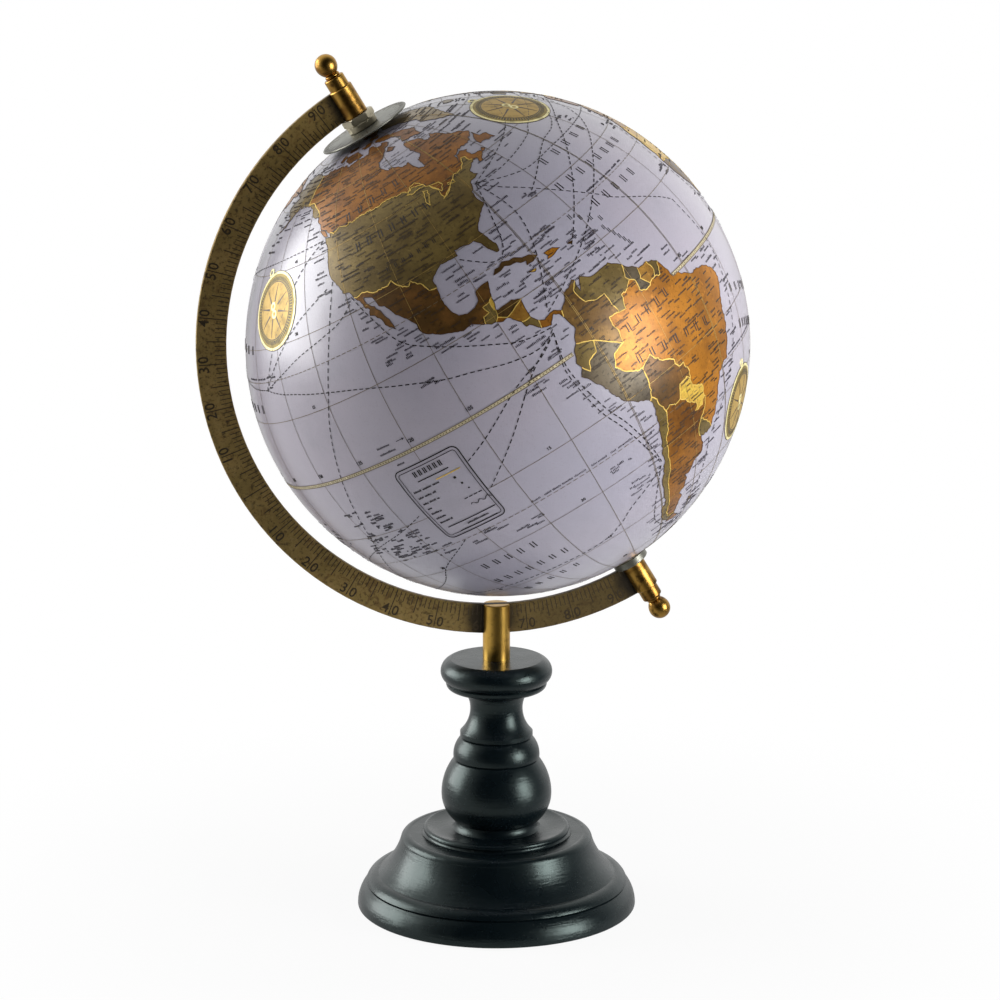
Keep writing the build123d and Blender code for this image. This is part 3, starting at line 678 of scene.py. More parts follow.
BORDERS = {
    "alaska_line": "69.6 -141, 60.3 -141, 60.2 -139, 59.6 -135.5, 58 -133, 56 -130, 55 -130.1",
    "north_line": "49 -123, 49 -118, 49 -112, 49 -106, 49 -100, 49 -95.2, 48.6 -93, 48 -90,"
    "48.2 -88.5, 47.3 -85.5, 46.5 -84.4, 45.8 -83.4, 44 -82.3, 42.5 -82.7, 41.8 -82.3,"
    "42.5 -80, 43 -79, 43.6 -78, 44.3 -76, 45 -74.8, 45 -71.5, 46.5 -70, 47.4 -69, 47 -67.8,"
    "45.6 -67.6, 45.1 -67",
    "grande": "32.5 -117.1, 32.7 -114.8, 31.4 -111, 31.3 -108.2, 31.8 -106.5, 29.7 -104.4,"
    "29 -103, 29.8 -102, 28.2 -100.3, 26.4 -99.1, 25.9 -97.2",
    "chiapas": "14.6 -92.3, 16 -91.8, 16.2 -90.4, 17.8 -91, 17.8 -89.2",
    "peten": "17.8 -89.2, 18.5 -88.2",
    "belize_line": "15.9 -88.9, 16 -89.2, 17.8 -89.2",
    "motagua": "15.9 -88.9, 14.9 -89.3, 14.4 -89.4",
    "trifinio": "14.4 -89.4, 13.8 -90.1",
    "lempa": "13.4 -87.8, 13.9 -88.5, 14.4 -89.4",
    "coco": "15 -83.2, 14 -85.5, 13.4 -87.8",
    "san_juan": "11 -83.7, 11.1 -85.7",
    "talamanca": "9.6 -82.6, 8.1 -82.9",
    "darien": "8.7 -77.4, 7.3 -77.9",
    "llanos": "11.8 -71.3, 10.5 -72.8, 9 -72.8, 7.1 -72, 6.2 -69.5, 6.1 -67.5, 3.5 -67.5,"
    "1.2 -66.9",
    "vaupes": "1.2 -66.9, 1.8 -69.5, 0.1 -70, -1.5 -69.4, -4.2 -69.9",
    "putumayo": "-4.2 -69.9, -2.3 -72.5, -0.1 -75.3",
    "carchi": "-0.1 -75.3, 0.8 -77.5, 1.4 -78.8",
    "cuyuni": "8.6 -60, 7.2 -60.6, 6 -61.3, 5.2 -60.7",
    "pacaraima": "5.2 -60.7, 3.9 -62.5, 3.8 -64.5, 0.9 -65.5, 1.2 -66.9",
    "corentyne": "6 -57.2, 4 -57.9, 1.9 -56.5",
    "rupununi": "5.2 -60.7, 4 -59.6, 2.3 -59.7, 1.3 -58.7, 1.9 -56.5",
    "maroni": "5.8 -54.1, 3.6 -54, 2.3 -54.5",
    "tumucumaque": "1.9 -56.5, 2.3 -54.5",
    "oyapock": "2.3 -54.5, 2.3 -52.7, 4.2 -51.6",
    "cuareim": "-33.7 -53.4, -31.8 -54.5, -30.2 -57.6",
    "misiones": "-30.2 -57.6, -28 -55.5, -26.3 -53.8, -25.6 -54.6",
    "amambay": "-25.6 -54.6, -24 -54.4, -22.2 -56, -22.1 -57.8, -20.2 -58.1",
    "guapore": "-20.2 -58.1, -17.8 -57.8, -16.3 -58.4, -16.2 -60.1, -13.6 -61, -12.5 -63.5,"
    "-10.8 -65.3, -9.8 -66, -11 -68.6",
    "ucayali": "-11 -68.6, -11 -70, -9.8 -72.3, -7.5 -74, -5 -72.9, -4.2 -69.9",
    "condor": "-3.4 -80.3, -4.9 -79.3, -3 -78.2, -2.2 -76, -0.1 -75.3",
    "arica": "-18.3 -70.4, -17.5 -69.5",
    "titicaca": "-17.5 -69.5, -16.2 -68.9, -14.5 -69.2, -12.5 -68.8, -11 -68.6",
    "atacama": "-17.5 -69.5, -19.5 -68.6, -22.9 -67.2",
    "bermejo": "-22.9 -67.2, -21.8 -66.2, -22.8 -64.3, -22 -62.8",
    "chaco": "-22 -62.8, -19.6 -61.7, -19.3 -59.1, -20.2 -58.1",
    "parana": "-22 -62.8, -24 -61, -25.3 -57.7, -27.3 -58.6, -27.3 -56, -25.6 -54.6",
    "plata": "-34 -58.4, -32 -58.1, -30.2 -57.6",
    "andes": "-52.4 -68.4, -52 -71.8, -50 -73.3, -47 -71.8, -44 -71.8, -41 -71.8, -37 -71.1,"
    "-33 -70, -29 -69.9, -26 -68.4, -22.9 -67.2",
}

# Each country: its tint, then its chains in order; a minus runs a chain backwards.
COUNTRIES = (
    ("olive", "alaska -alaska_line"),
    ("copper", "canada_north -north_line -canada_west -alaska_line"),
    ("olive", "usa_west grande -usa_east -north_line"),
    ("amber_dark", "mexico_west chiapas peten -mexico_east -grande"),
    ("gold", "belize_east belize_line peten"),
    ("olive", "guatemala_south -trifinio -motagua belize_line -chiapas"),
    ("copper", "salvador_south lempa trifinio"),
    ("umber", "honduras_north coco lempa -motagua"),
    ("amber", "nicaragua_east san_juan -nicaragua_west -coco"),
    ("olive", "costa_east talamanca -costa_west -san_juan"),
    ("copper", "panama_north darien -panama_south -talamanca"),
    ("umber_light", "colombia_north llanos vaupes putumayo carchi -colombia_west -darien"),
    ("olive", "venezuela_north cuyuni pacaraima -llanos"),
    ("slate", "guyana_north corentyne -rupununi -cuyuni"),
    ("amber", "surinam_north maroni -tumucumaque -corentyne"),
    ("olive", "guiana_north -oyapock -maroni"),
    ("copper_bright", "brazil_east cuareim misiones amambay guapore ucayali -vaupes"
     " -pacaraima rupununi tumucumaque oyapock"),
    ("olive", "uruguay_south plata -cuareim"),
    ("olive", "ecuador_west condor carchi"),
    ("slate", "peru_west arica titicaca ucayali putumayo -condor"),
    ("amber_dark", "atacama bermejo chaco guapore -titicaca"),
    ("gold", "parana amambay -chaco"),
    ("copper", "argentina_east andes bermejo parana -misiones -plata"),
    ("olive", "chile_west andes -atacama -arica"),
)

# Land of one tint: islands, and the far side's lands that the seeds below divide.
ISLANDS = (
    ("umber", "21.9 -84.9, 22.7 -84, 22.6 -83, 23.2 -81.8, 22.6 -80.4, 22.5 -79, 21.6 -77.6,"
     "21.2 -75.8, 20.2 -74.2, 19.9 -76, 19.8 -77.6, 20.6 -77.2, 20.8 -78.4, 21.5 -79, 21.6 -80.8,"
     "22.2 -81.8, 21.9 -83.2"),
    ("copper_bright", "19.8 -72.8, 19.6 -70.6, 18.8 -69.2, 18.3 -71.2, 18.4 -73, 19 -72.4"),
    ("gold", "18.5 -78.2, 18.3 -76.3, 17.8 -77"),
    ("umber", "18.5 -67.2, 18.4 -65.7, 17.9 -66.2"),
    ("copper", "-52.7 -68.7, -53.8 -67.7, -54.8 -65.2, -55.6 -67.5, -55 -70, -54.3 -72.5,"
     "-53.4 -70.4"),
    ("copper", "51.6 -55.6, 49.5 -55, 48.6 -53, 46.7 -53.2, 47 -55.5, 47.6 -59.2, 49.5 -58"),
    ("copper", "50.8 -128.2, 48.8 -125, 48.4 -123.5, 50.1 -125.4"),
    ("copper", "73.7 -84, 71.5 -75, 69.5 -68, 66.5 -61.8, 64.8 -65, 62.3 -65.5, 63.5 -70,"
     "64.5 -77, 66.5 -73, 69.5 -76.5, 70.5 -85, 72 -89"),
    ("copper", "73 -117, 72.8 -106, 70 -101.5, 68.8 -106, 69.2 -114, 71 -117.5"),
    ("copper", "74.3 -121, 73 -117.5, 71.2 -123, 72.5 -125.5"),
    ("copper", "83 -70, 81.5 -62.5, 78.5 -74.5, 76.3 -82, 78 -88, 81 -92"),
    ("copper", "76.5 -90, 75.5 -80, 74.6 -82, 74.7 -92"),
    ("copper", "65.8 -85, 64 -81, 63 -84, 64 -87"),
    ("copper", "74 -95, 73.8 -90.5, 72.2 -93, 72 -97, 73 -102"),
    ("copper", "76.5 -116, 76 -105, 74.7 -108, 75 -116"),
    ("copper", "81 -94, 79 -90, 78.2 -93, 80 -98"),
    ("tan", "83.5 -33, 82 -20, 79 -18, 76 -20, 73 -22, 70.3 -22.5, 68.5 -27, 66 -36, 63 -41.5,"
     "60 -43.8, 61.5 -48.8, 64.5 -52, 67 -53.7, 69.5 -51, 71.5 -55, 74 -57, 76 -65, 77 -71,"
     "79 -66, 81 -61, 82.5 -50"),
    ("olive", "66.4 -16, 65 -13.7, 63.5 -18.5, 64 -22.5, 65.5 -24"),
    ("umber", "58.6 -3.5, 57.5 -1.9, 55 -1.5, 52.7 1.5, 51 1, 50.7 -2, 50.1 -5.5, 51.6 -4,"
     "53.2 -4.3, 54.8 -3.5, 55.5 -5.5, 58 -5.5"),
    ("olive", "55.3 -7, 54 -5.8, 52.2 -6.5, 51.6 -9.8, 54.2 -10"),
    ("amber", "-12 49.3, -16 50, -25 47, -25.3 44, -20 44.3, -16 45"),
    ("gold", "41.4 141, 38 141.2, 35.5 140.5, 34.7 137, 33.5 135.8, 34.2 131, 35.5 134, 37 137,"
     "39.5 139.8"),
    ("gold", "45.4 141.8, 43.3 145.5, 42 143.2, 41.8 140.2, 43.3 140.5"),
    ("gold", "33.9 131, 31.3 131.2, 32.8 129.8"),
    ("copper", "54.3 142.5, 49 143.5, 46 142.8, 50 142"),
    ("copper", "5.5 95.5, 3 99.5, -3 104, -5.8 105.8, -2 101, 2 97.5"),
    ("amber", "7 117, 4 118, 1 118.7, -3.5 116.2, -3 111, 1.5 109, 4.5 114"),
    ("copper", "-6 106, -6.8 111, -7.5 114.5, -8.3 113, -8 109, -7 106"),
    ("olive", "1.4 124.6, 0.9 120.4, -2 119.5, -5.4 119.8, -5 122, -1.8 122.4"),
    ("umber", "-0.7 133, -2.5 139, -5.5 146, -10.5 150.5, -8 144, -8.5 138, -4 133, -1 131"),
    ("amber", "18.5 121, 16 122, 13 124, 13.8 120.6, 16.3 119.9"),
    ("amber", "9.5 125.5, 6.5 126, 6 125, 7.5 122, 8.5 123.5"),
    ("olive", "25 121.6, 22 120.8, 23.5 120.1"),
    ("gold", "9.8 80, 7 81.8, 6 80.5, 8 79.8"),
    ("copper", "80 20, 78.2 21, 76.8 16, 79.5 11"),
    ("copper", "76.8 68, 73 58.5, 70.8 54, 74 55"),
    ("olive", "38 12.5, 38.2 15.5, 36.8 15"),
    ("umber", "41 9.2, 39.2 9.6, 39 8.4, 40.8 8.2"),
    ("olive", "-40.8 145, -41 148.3, -43.5 147, -43 145.6"),
    ("olive", "-34.5 172.8, -37.5 176, -37.7 178.5, -41.4 175.3, -39.3 174, -37 174.7"),
    ("olive", "-40.6 172.8, -43.8 173, -46.5 169.5, -46 166.5, -43 170.5"),
    ("tan", "-51.3 -61, -51.4 -58, -52.3 -58.8, -52.1 -61"),
    ("tan", "-78 -180, -77 -158, -74.5 -137, -74 -115, -73 -100, -72.5 -80, -70 -67, -65 -62,"
     "-63.5 -57, -66 -61, -72 -61, -75 -52, -77.5 -38, -75 -22, -70.5 -8, -70 10, -69 25, -67 45,"
     "-67 60, -70 73, -66.5 88, -66.3 110, -67 130, -69 150, -71 168, -77.5 166, -78 180,"
     "-85.2 180, -85.2 90, -85.2 0, -85.2 -90, -85.2 -180"),
)

# The other continents: an outline, then a seed for each country in it, which
# takes the land that lies nearest to it.
CONTINENTS = (
    ("71 26, 70.2 31, 69 33, 66.3 40.5, 64.5 38, 64.5 40.5, 67 44, 68 53, 68.8 59, 69.5 66,"
     "73 69, 71 73, 68 73.5, 72 76, 73.7 86, 76 97, 77.5 104, 73.8 112, 73 122, 71.5 130,"
     "72.4 141, 70.8 152, 69.7 161, 69.8 170, 69 178, 66.1 190.3, 64.5 187, 64.5 178, 62.4 179.5,"
     "60 170, 59.8 163.5, 56 162, 51 156.8, 55.5 155.5, 59 159, 61.5 163.5, 60.5 155, 59.5 150,"
     "59.2 143, 54.5 135.5, 53 141, 49 140.3, 46 138, 43 132, 39.5 127.5, 37.5 129, 35.2 129.2,"
     "34.5 126.5, 37.6 126.5, 39.7 125, 39 121.5, 40.8 121.2, 39.2 118, 38 118.7, 37.3 122.5,"
     "35.2 119.5, 32 121.7, 30.3 122, 27 120.3, 23.5 117, 22.2 114, 21 110.3, 21.5 108, 19 105.7,"
     "16 108, 12 109.3, 10.5 107, 8.7 105, 10.3 104.5, 13.4 100.3, 11 99.4, 9.2 99.3, 7 100.6,"
     "4.5 103.4, 1.4 104.2, 2.9 101.3, 6.5 100, 10 98.5, 13.5 98, 16.5 97.3, 15.8 95, 18.8 94.3,"
     "22.3 91.8, 21.8 89, 21.5 87, 19.5 85, 16.5 82, 13 80.3, 10.2 79.9, 8.1 77.5, 11.5 75.6,"
     "15 74, 19 72.8, 21 72.6, 20.8 70.5, 22.4 69, 23.7 68, 25.2 66.5, 25.3 61, 27 56.8, 27 53,"
     "30 50, 30 48, 28 48.4, 25.5 50.5, 24.2 52, 26 56.3, 23.7 58.6, 20.5 58, 17 55, 14.5 49,"
     "12.8 45, 13 43.3, 17 42.3, 21 39, 25 37, 28 34.7, 29.5 35, 27.8 34.2, 29.9 32.6, 31.2 32.3,"
     "31.3 34.2, 33 35, 36.5 36, 36.3 33, 36.8 30.6, 36.8 28.2, 39 26.6, 41.2 29, 41.5 31.5,"
     "42 35, 41 39.5, 42 41.5, 45 37, 47 39, 44.5 33.8, 46.5 30.8, 44 28.6, 42.5 27.6, 40.6 26,"
     "40.5 23, 38 24, 36.8 22.5, 38.5 21, 41 19.4, 43.5 16, 45.5 13.6, 44.5 12.4, 42 14.5,"
     "41 16.8, 40 18.4, 40.4 17, 38 16, 40.5 14.5, 42.5 11, 44.3 8.8, 43 5.5, 43 3.2, 41.3 2.2,"
     "38.7 0.2, 36.7 -2.2, 36.1 -5.5, 37 -8.8, 38.7 -9.4, 43.2 -9, 43.5 -2, 46 -1.2, 48.4 -4.6,"
     "48.7 -1.6, 49.7 0, 51 2, 53.3 6, 54 8.7, 57 8.3, 57.5 10.5, 54.5 10.5, 54 14, 54.8 19,"
     "57 21.5, 57.5 24, 59.3 24, 59.9 30, 60.3 25, 60 22, 63 21.3, 65.5 25, 63.5 20, 60.6 17.2,"
     "58.8 17, 56 16, 55.4 13.2, 58 11.5, 59.2 10.6, 58.1 7.5, 60.5 5, 63 8, 66 12.8, 69 16.5",
     "olive 64 14, umber 64 27, amber 46.5 2.5, copper 40 -4, olive 51 10, gold 52 20,"
     "olive 42.5 12.5, copper 43.5 21, amber 49 31, umber 46 25, olive 39 35, copper 57 44,"
     "umber 48 67, copper 63 80, amber 64 118, copper 65 150, olive 46.5 104, copper_bright 32 108,"
     "copper_bright 38 85, amber 46 127, olive 36 128, amber 22 79, olive 29 69, umber 34 66,"
     "copper 32.5 54, gold 33 43.5, olive 23.5 45.5, umber 17 52, gold 40 60, olive 21 96,"
     "gold 15.5 101, umber 17 105.5, copper 4 102, copper 34.5 38"),
    ("35.9 -5.5, 35.2 -1.5, 36.8 3, 37.2 10, 34 10.3, 32.8 13, 30.4 18.5, 32.8 22, 31.3 27,"
     "31.2 32, 29.7 32.3, 27 34, 22 36.8, 18.5 37.5, 15 39.8, 12.5 43.2, 11.3 44, 11.8 51, 8 50,"
     "2 45.5, -2.5 41, -6.5 39.5, -11 40.5, -15 40.8, -19.8 35, -25.5 33, -29.5 31.3, -33.8 27,"
     "-34.7 20, -33 17.9, -28.6 16.5, -22.5 14.4, -17 11.8, -10 13.4, -6 12.3, -1 8.8, 4 9.7,"
     "4.4 6.2, 6.3 3.5, 4.8 -2, 4.4 -7.6, 8.5 -13.3, 12.5 -16.8, 14.7 -17.4, 21 -17, 26 -14.6,"
     "29 -10.2, 33.3 -8.5",
     "amber 32 -6.5, copper 28 3, olive 27 17.5, gold 26.5 30, umber 15 30, amber 8.5 39.5,"
     "olive 4 46, gold 20 -11, olive 17 -2, umber 17 9.5, copper 15 19, olive 9 8, copper 8 -4,"
     "umber 11.5 -12, gold 6 17, copper_bright -2 23, olive 0.5 38, copper -6 35, amber -12 18,"
     "olive -14 27.5, umber -16 37, copper -22 17, gold -22.5 24, olive -30 24, amber -19 30.5"),
    ("-10.8 142.5, -14.5 143.8, -19 146.5, -22.5 150.6, -25 153.2, -28.5 153.6, -33 151.8,"
     "-37.5 150, -39 146.4, -38 141, -35.5 139, -34.5 138, -32.8 138, -35 136, -31.6 131.5,"
     "-33.9 124, -35 118, -34.3 115.2, -31.5 115.7, -26 113.3, -21.8 114.1, -19.8 119.5,"
     "-17.5 122.2, -14.3 126, -14.9 129.6, -12 131, -12 136.8, -15 135.7, -17.6 140",
     "amber -26 121, copper -20 133.5, umber -30 135, olive -22 145, amber -34 146"),
)

LAKES = (
    "47 51.5, 45 52.5, 41 53, 37 54, 37 50, 40 49.5, 43 47.5, 45.5 48",
    "0.3 33, -2.2 33.3, -1.5 31.8",
)

# Lakes shown by a gold outline only.
GOLD_LAKES = (
    "48.7 -89, 48.6 -86.5, 46.7 -84.8, 46.8 -88, 47 -91.5",
    "45.8 -86.5, 45.4 -85.3, 43 -86.4, 41.8 -87.3, 43.2 -87.7",
    "46 -83.5, 45.6 -80.8, 44.6 -80.5, 43.3 -81.9, 44.9 -83.2",
    "42.7 -79.2, 42.3 -81.2, 41.6 -82.9, 42.1 -80.2",
    "44 -76.5, 43.7 -79, 43.3 -79.2, 43.4 -77",
)


def chain(text):
    """The places of a chain as (longitude, latitude) pairs."""
    places = (place.split() for place in text.split(","))
    return [(float(longitude), float(latitude)) for latitude, longitude in places]


def clamp(value, low=0, high=1):
    return min(max(value, low), high)


def wobble(place):
    """Gives a straight run of coast or border its small bends.

    They are small round the isthmus, whose lands are narrow, and a little
    rougher over the rest of the Americas.
    """
    x, y = place
    calm = clamp(math.hypot(x - ISTHMUS[0], y - ISTHMUS[1]) / CALM_REACH, 0.3)
    broad = noise.noise_vector(Vector((x * BROAD_BENDS, y * BROAD_BENDS, 3)))
    fine = noise.noise_vector(Vector((x * FINE_BENDS, y * FINE_BENDS, 9)))
    rough = 0.38 + 0.2 * clamp((x + 130) / 20) * clamp((-25 - x) / 20)
    return (
        x + (broad.x * 0.75 + fine.x * rough) * calm,
        y + (broad.y * 0.62 + fine.y * rough * 0.85) * calm,
    )


def divide(start, end, count, last=False):
    """Places at even steps from start to end, with or without the last one."""
    steps = range(count + 1 if last else count)
    return [tuple(a + (b - a) * i / count for a, b in zip(start, end)) for i in steps]


def bend(places, step, closed=False):
    """Divides a run into steps of so many degrees and wobbles it."""
    run = []
    for start, end in zip(places, places[1:] + places[:1] if closed else places[1:]):
        length = math.hypot(end[0] - start[0], end[1] - start[1])
        run += divide(start, end, max(1, math.ceil(length / step)))
    if not closed:
        run.append(places[-1])
    return [wobble(place) for place in run]


def on_ball(x, y, lift=0.0):
    """Longitude and latitude to a place on the print, which is a little stretched."""
    east, north = math.radians(x), math.radians(y)
    north += NORTH_STRETCH * math.sin(2 * north) - NORTH_STRETCH_FINE * math.sin(4 * north)
    east += EAST_SHIFT + EAST_STRETCH * math.sin(2 * east + EAST_PHASE)
    flat = math.cos(north)
    way = FRONT * flat * math.cos(east) + EAST * flat * math.sin(east) + POLE * math.sin(north)
    return BALL_CENTRE + PRINT_TURN @ way * (BALL_RADIUS + lift * MM)


def local_axes(x, y, lift=0.0):
    """A matrix at a place on the print: x east, y north, z outwards."""
    here = on_ball(x, y, lift)
    out = (here - BALL_CENTRE).normalized()
    east = (on_ball(x + 0.05, y, lift) - here).normalized()
    east = (east - out * east.dot(out)).normalized()
    return axes_at(east, out.cross(east), out, here)


def flat_places(element):
    """The places of an edge's or a face's corners on the flat map."""
    return [vert.co.to_2d().to_tuple(5) for vert in element.verts]


def from_lowest(loop):
    """The same loop, started at its lowest place and run one way round."""
    start = loop.index(min(loop))
    loop = loop[start:] + loop[:start]
    return loop if loop[1] < loop[-1] else [loop[0], *reversed(loop[1:])]


class Outlines:
    """Every outline and border of the map, bent and ready to draw."""

    def __init__(self):
        noise.seed_set(SHORE_SEED)
        chains = {name: chain(text) for name, text in (COASTS | BORDERS).items()}
        self.coasts = [bend(chains[name], FINE_STEP) for name in COASTS]
        self.borders = [bend(chains[name], FINE_STEP) for name in BORDERS]
        self.lakes = [bend(chain(text), FINE_STEP, True) for text in LAKES]
        for text in GOLD_LAKES:
            shore = bend(chain(text), FINE_STEP, True)
            self.borders.append(shore + shore[:1])
        self.areas = []
        for tint, names in COUNTRIES:
            loop = []
            for name in names.split():
                run = bend(chains[name.lstrip("-")], FINE_STEP)
                loop += (run[::-1] if name.startswith("-") else run)[:-1]
            self.areas.append((tint, loop))
        for tint, text in ISLANDS:
            loop = bend(chain(text), COARSE_STEP, True)
            self.areas.append((tint, loop))
            self.coasts.append(loop + loop[:1])
        for outline, seeds in CONTINENTS:
            self.share_out(chain(outline), seeds)

    def share_out(self, outline, seeds):
        """Cuts a continent half way between the seeds of neighbouring countries."""
        loop = bend(outline, COARSE_STEP, True)
        self.coasts.append(loop + loop[:1])
        places = [seed.split() for seed in seeds.split(",")]
        places = [(tint, Vector((float(x), float(y), 0))) for tint, y, x in places]
        drawn = set()
        for tint, here in places:
            cell = bmesh.new()
            cell.faces.new([cell.verts.new((x, y, 0)) for x, y in outline])
            bmesh.ops.triangulate(cell, faces=cell.faces, ngon_method="EAR_CLIP")
            for _, there in places:
                if there != here and (there - here).length < SEED_REACH:
                    cut(cell, (here + there) / 2, there - here, clear=True)
            bmesh.ops.dissolve_faces(cell, faces=cell.faces)
            for ends in sorted(sorted(flat_places(edge)) for edge in cell.edges):
                middle = (Vector((*ends[0], 0)) + Vector((*ends[1], 0))) / 2
                near = sorted((place - middle).length for _, place in places)
                key = (round(middle.x, 1), round(middle.y, 1))
                if near[1] - near[0] < 0.001 and key not in drawn:
                    drawn.add(key)
                    self.borders.append(bend(ends, COARSE_STEP))
            for round_it in sorted(from_lowest(flat_places(face)) for face in cell.faces):
                self.areas.append((tint, bend(round_it, COARSE_STEP, True)))
            cell.free()


def flat_map(areas, tints):
    """Lays areas out flat, in degrees, with a tint's number on each face."""
    sheet = bmesh.new()
    for tint, loop in areas:
        face = sheet.faces.new([sheet.verts.new((x, y, 0)) for x, y in loop])
        face.material_index = tints.index(tint)
        face.normal_update()
        if face.normal.z < 0:
            face.normal_flip()
    bmesh.ops.triangulate(sheet, faces=sheet.faces, ngon_method="EAR_CLIP")
    return sheet


def islands_inside_out(sheet, top):
    """The faces of every island whose upper faces look at the ball's centre."""
    turned, seen = [], set()
    for first in sheet.faces:
        if first in seen:
            continue
        island = joined_to(first, lambda face: [f for e in face.edges for f in e.link_faces])
        seen |= island
        outward = sum(
            face.calc_area() * face.normal.dot(face.calc_center_median() - BALL_CENTRE)
            for face in island if all(vert in top for vert in face.verts)
        )
        if outward < 0:
            turned += island
    return turned


def wrap_sheet(sheet, low, high):
    """Cuts a flat sheet into small cells, bends it round the ball and gives it thickness."""
    for axis, start, stop in ((Vector((1, 0, 0)), -180, 195), (Vector((0, 1, 0)), -84, 84)):
        for place in range(start, stop, CELL):
            cut(sheet, axis * place, axis)
    bmesh.ops.triangulate(sheet, faces=[f for f in sheet.faces if len(f.verts) > 3])
    bmesh.ops.dissolve_degenerate(sheet, dist=0.0005, edges=sheet.edges)
    bmesh.ops.triangulate(sheet, faces=[f for f in sheet.faces if len(f.verts) > 3])
    for face in sheet.faces:
        face.smooth = True
    raised = bmesh.ops.extrude_face_region(sheet, geom=sheet.faces[:], use_keep_orig=True)
    top = {v for v in raised["geom"] if isinstance(v, bmesh.types.BMVert)}
    for vert in sheet.verts:
        vert.co = on_ball(vert.co.x, vert.co.y, high if vert in top else low)
    for face in sheet.faces:
        face.normal_update()
        if len({v in top for v in face.verts}) > 1:
            face.smooth = False
    bmesh.ops.recalc_face_normals(sheet, faces=sheet.faces)
    bmesh.ops.reverse_faces(sheet, faces=islands_inside_out(sheet, top))


def draw_lines(name, runs, lift, width, material, height=0.3):
    """Draws runs of places as raised lines; the height flattens their round section."""
    curve = bpy.data.curves.new(name, "CURVE")
    curve.dimensions = "3D"
    curve.bevel_depth = width * MM / 2
    curve.bevel_resolution = 0
    curve.use_fill_caps = True
    for run in runs:
        spline = curve.splines.new("POLY")
        spline.points.add(len(run) - 1)
        for point, (x, y) in zip(spline.points, run):
            point.co = (*on_ball(x, y, lift), 1)
    mesh = mesh_from(curve)
    shape = bmesh.new()
    shape.from_mesh(mesh)
    bpy.data.meshes.remove(mesh)
    level = BALL_RADIUS + lift * MM
    for vert in shape.verts:
        out = vert.co - BALL_CENTRE
        vert.co = BALL_CENTRE + out.normalized() * (level + (out.length - level) * height)
    bmesh.ops.recalc_face_normals(shape, faces=shape.faces)
    return print_piece(name, shape, material)


def dashes(run, dash, gap):
    """Cuts a run of places, in degrees, into dashes."""
    pieces, piece, left, drawing = [], [run[0]], dash, True
    for (x0, y0), (x1, y1) in zip(run, run[1:]):
        squash = math.cos(math.radians((y0 + y1) / 2))
        length = math.hypot((x1 - x0) * squash, y1 - y0)
        done = 0.0
        while length - done > left:
            done += left
            here = (x0 + (x1 - x0) * done / length, y0 + (y1 - y0) * done / length)
            if drawing:
                pieces.append(piece + [here])
            piece, drawing = [here], not drawing
            left = dash if drawing else gap
        left -= length - done
        piece.append((x1, y1))
    return pieces


def smooth_run(places, step=1.0):
    """A rounded run through a few places."""
    run = []
    padded = [places[0], *places, places[-1]]
    for before, start, end, after in zip(padded, padded[1:], padded[2:], padded[3:]):
        count = max(1, round(math.dist(start, end) / step))
        for i in range(count):
            t = i / count
            run.append(tuple(
                0.5 * (2 * b + (c - a) * t + (2 * a - 5 * b + 4 * c - d) * t * t
                       + (3 * b - a - 3 * c + d) * t ** 3)
                for a, b, c, d in zip(before, start, end, after)
            ))
    return run + [places[-1]]


class Marks:
    """Small raised bars of print, made in batches to stay quick."""

    BATCH = 150

    def __init__(self):
        self.whole = bmesh.new()
        self.batch = bmesh.new()
        self.count = 0

    def bar(self, axes, east, north, width, height, thick=BAR_THICK):
        """One bar at an offset in mm from a place's axes."""
        size = Matrix.Diagonal((width * MM, height * MM, thick * MM, 1))
        shift = Matrix.Translation((east * MM, north * MM, 0))
        bmesh.ops.create_cube(self.batch, size=1, matrix=axes @ shift @ size)
        self.count += 1
        if self.count % self.BATCH == 0:
            self.flush()

    def flush(self):
        mesh = bpy.data.meshes.new("batch")
        self.batch.to_mesh(mesh)
        self.whole.from_mesh(mesh)
        bpy.data.meshes.remove(mesh)
        self.batch.free()
        self.batch = bmesh.new()

    def word(self, draw, axes, length, height, thick=WORD_THICK):
        """A stand-in for a word: upright strokes of uneven height."""
        pitch = height * 0.62
        count = max(2, round(length / pitch))
        for i in range(count):
            tall = height * draw.choice((0.7, 0.7, 0.8, 1.0))
            wide = pitch * draw.uniform(0.4, 0.62)
            east = (i - (count - 1) / 2) * pitch
            self.bar(axes, east, (tall - height) / 2, wide, tall, thick)

    def done(self):
        self.flush()
        self.batch.free()
        return self.whole


class GLOBE_OT_ball(bpy.types.Operator):
    """Adds the printed ball with a flat land at each pole"""

    bl_idname = "globe.ball"
    bl_label = "Ball"

    def execute(self, context):
        settings = context.scene.globe_ball
        shape = bmesh.new()
        bmesh.ops.create_uvsphere(
            shape, u_segments=settings.rings * 2, v_segments=settings.rings, radius=BALL_RADIUS
        )
        bmesh.ops.rotate(
            shape, verts=shape.verts, matrix=Vector((0, 0, 1)).rotation_difference(POLE).to_matrix()
        )
        for face in shape.faces:
            face.smooth = True
        for side in (1, -1):
            rim = cut(shape, POLE * side * POLE_FLAT, POLE * side, clear=True)
            bmesh.ops.holes_fill(shape, edges=rim)
        bmesh.ops.translate(shape, verts=shape.verts, vec=BALL_CENTRE)
        make_piece(
            "globe_ball", shape, "globe", "printed_ball", [ocean_material(settings)],
            ("hemisphere_north", "hemisphere_south"),
        )
        return {"FINISHED"}


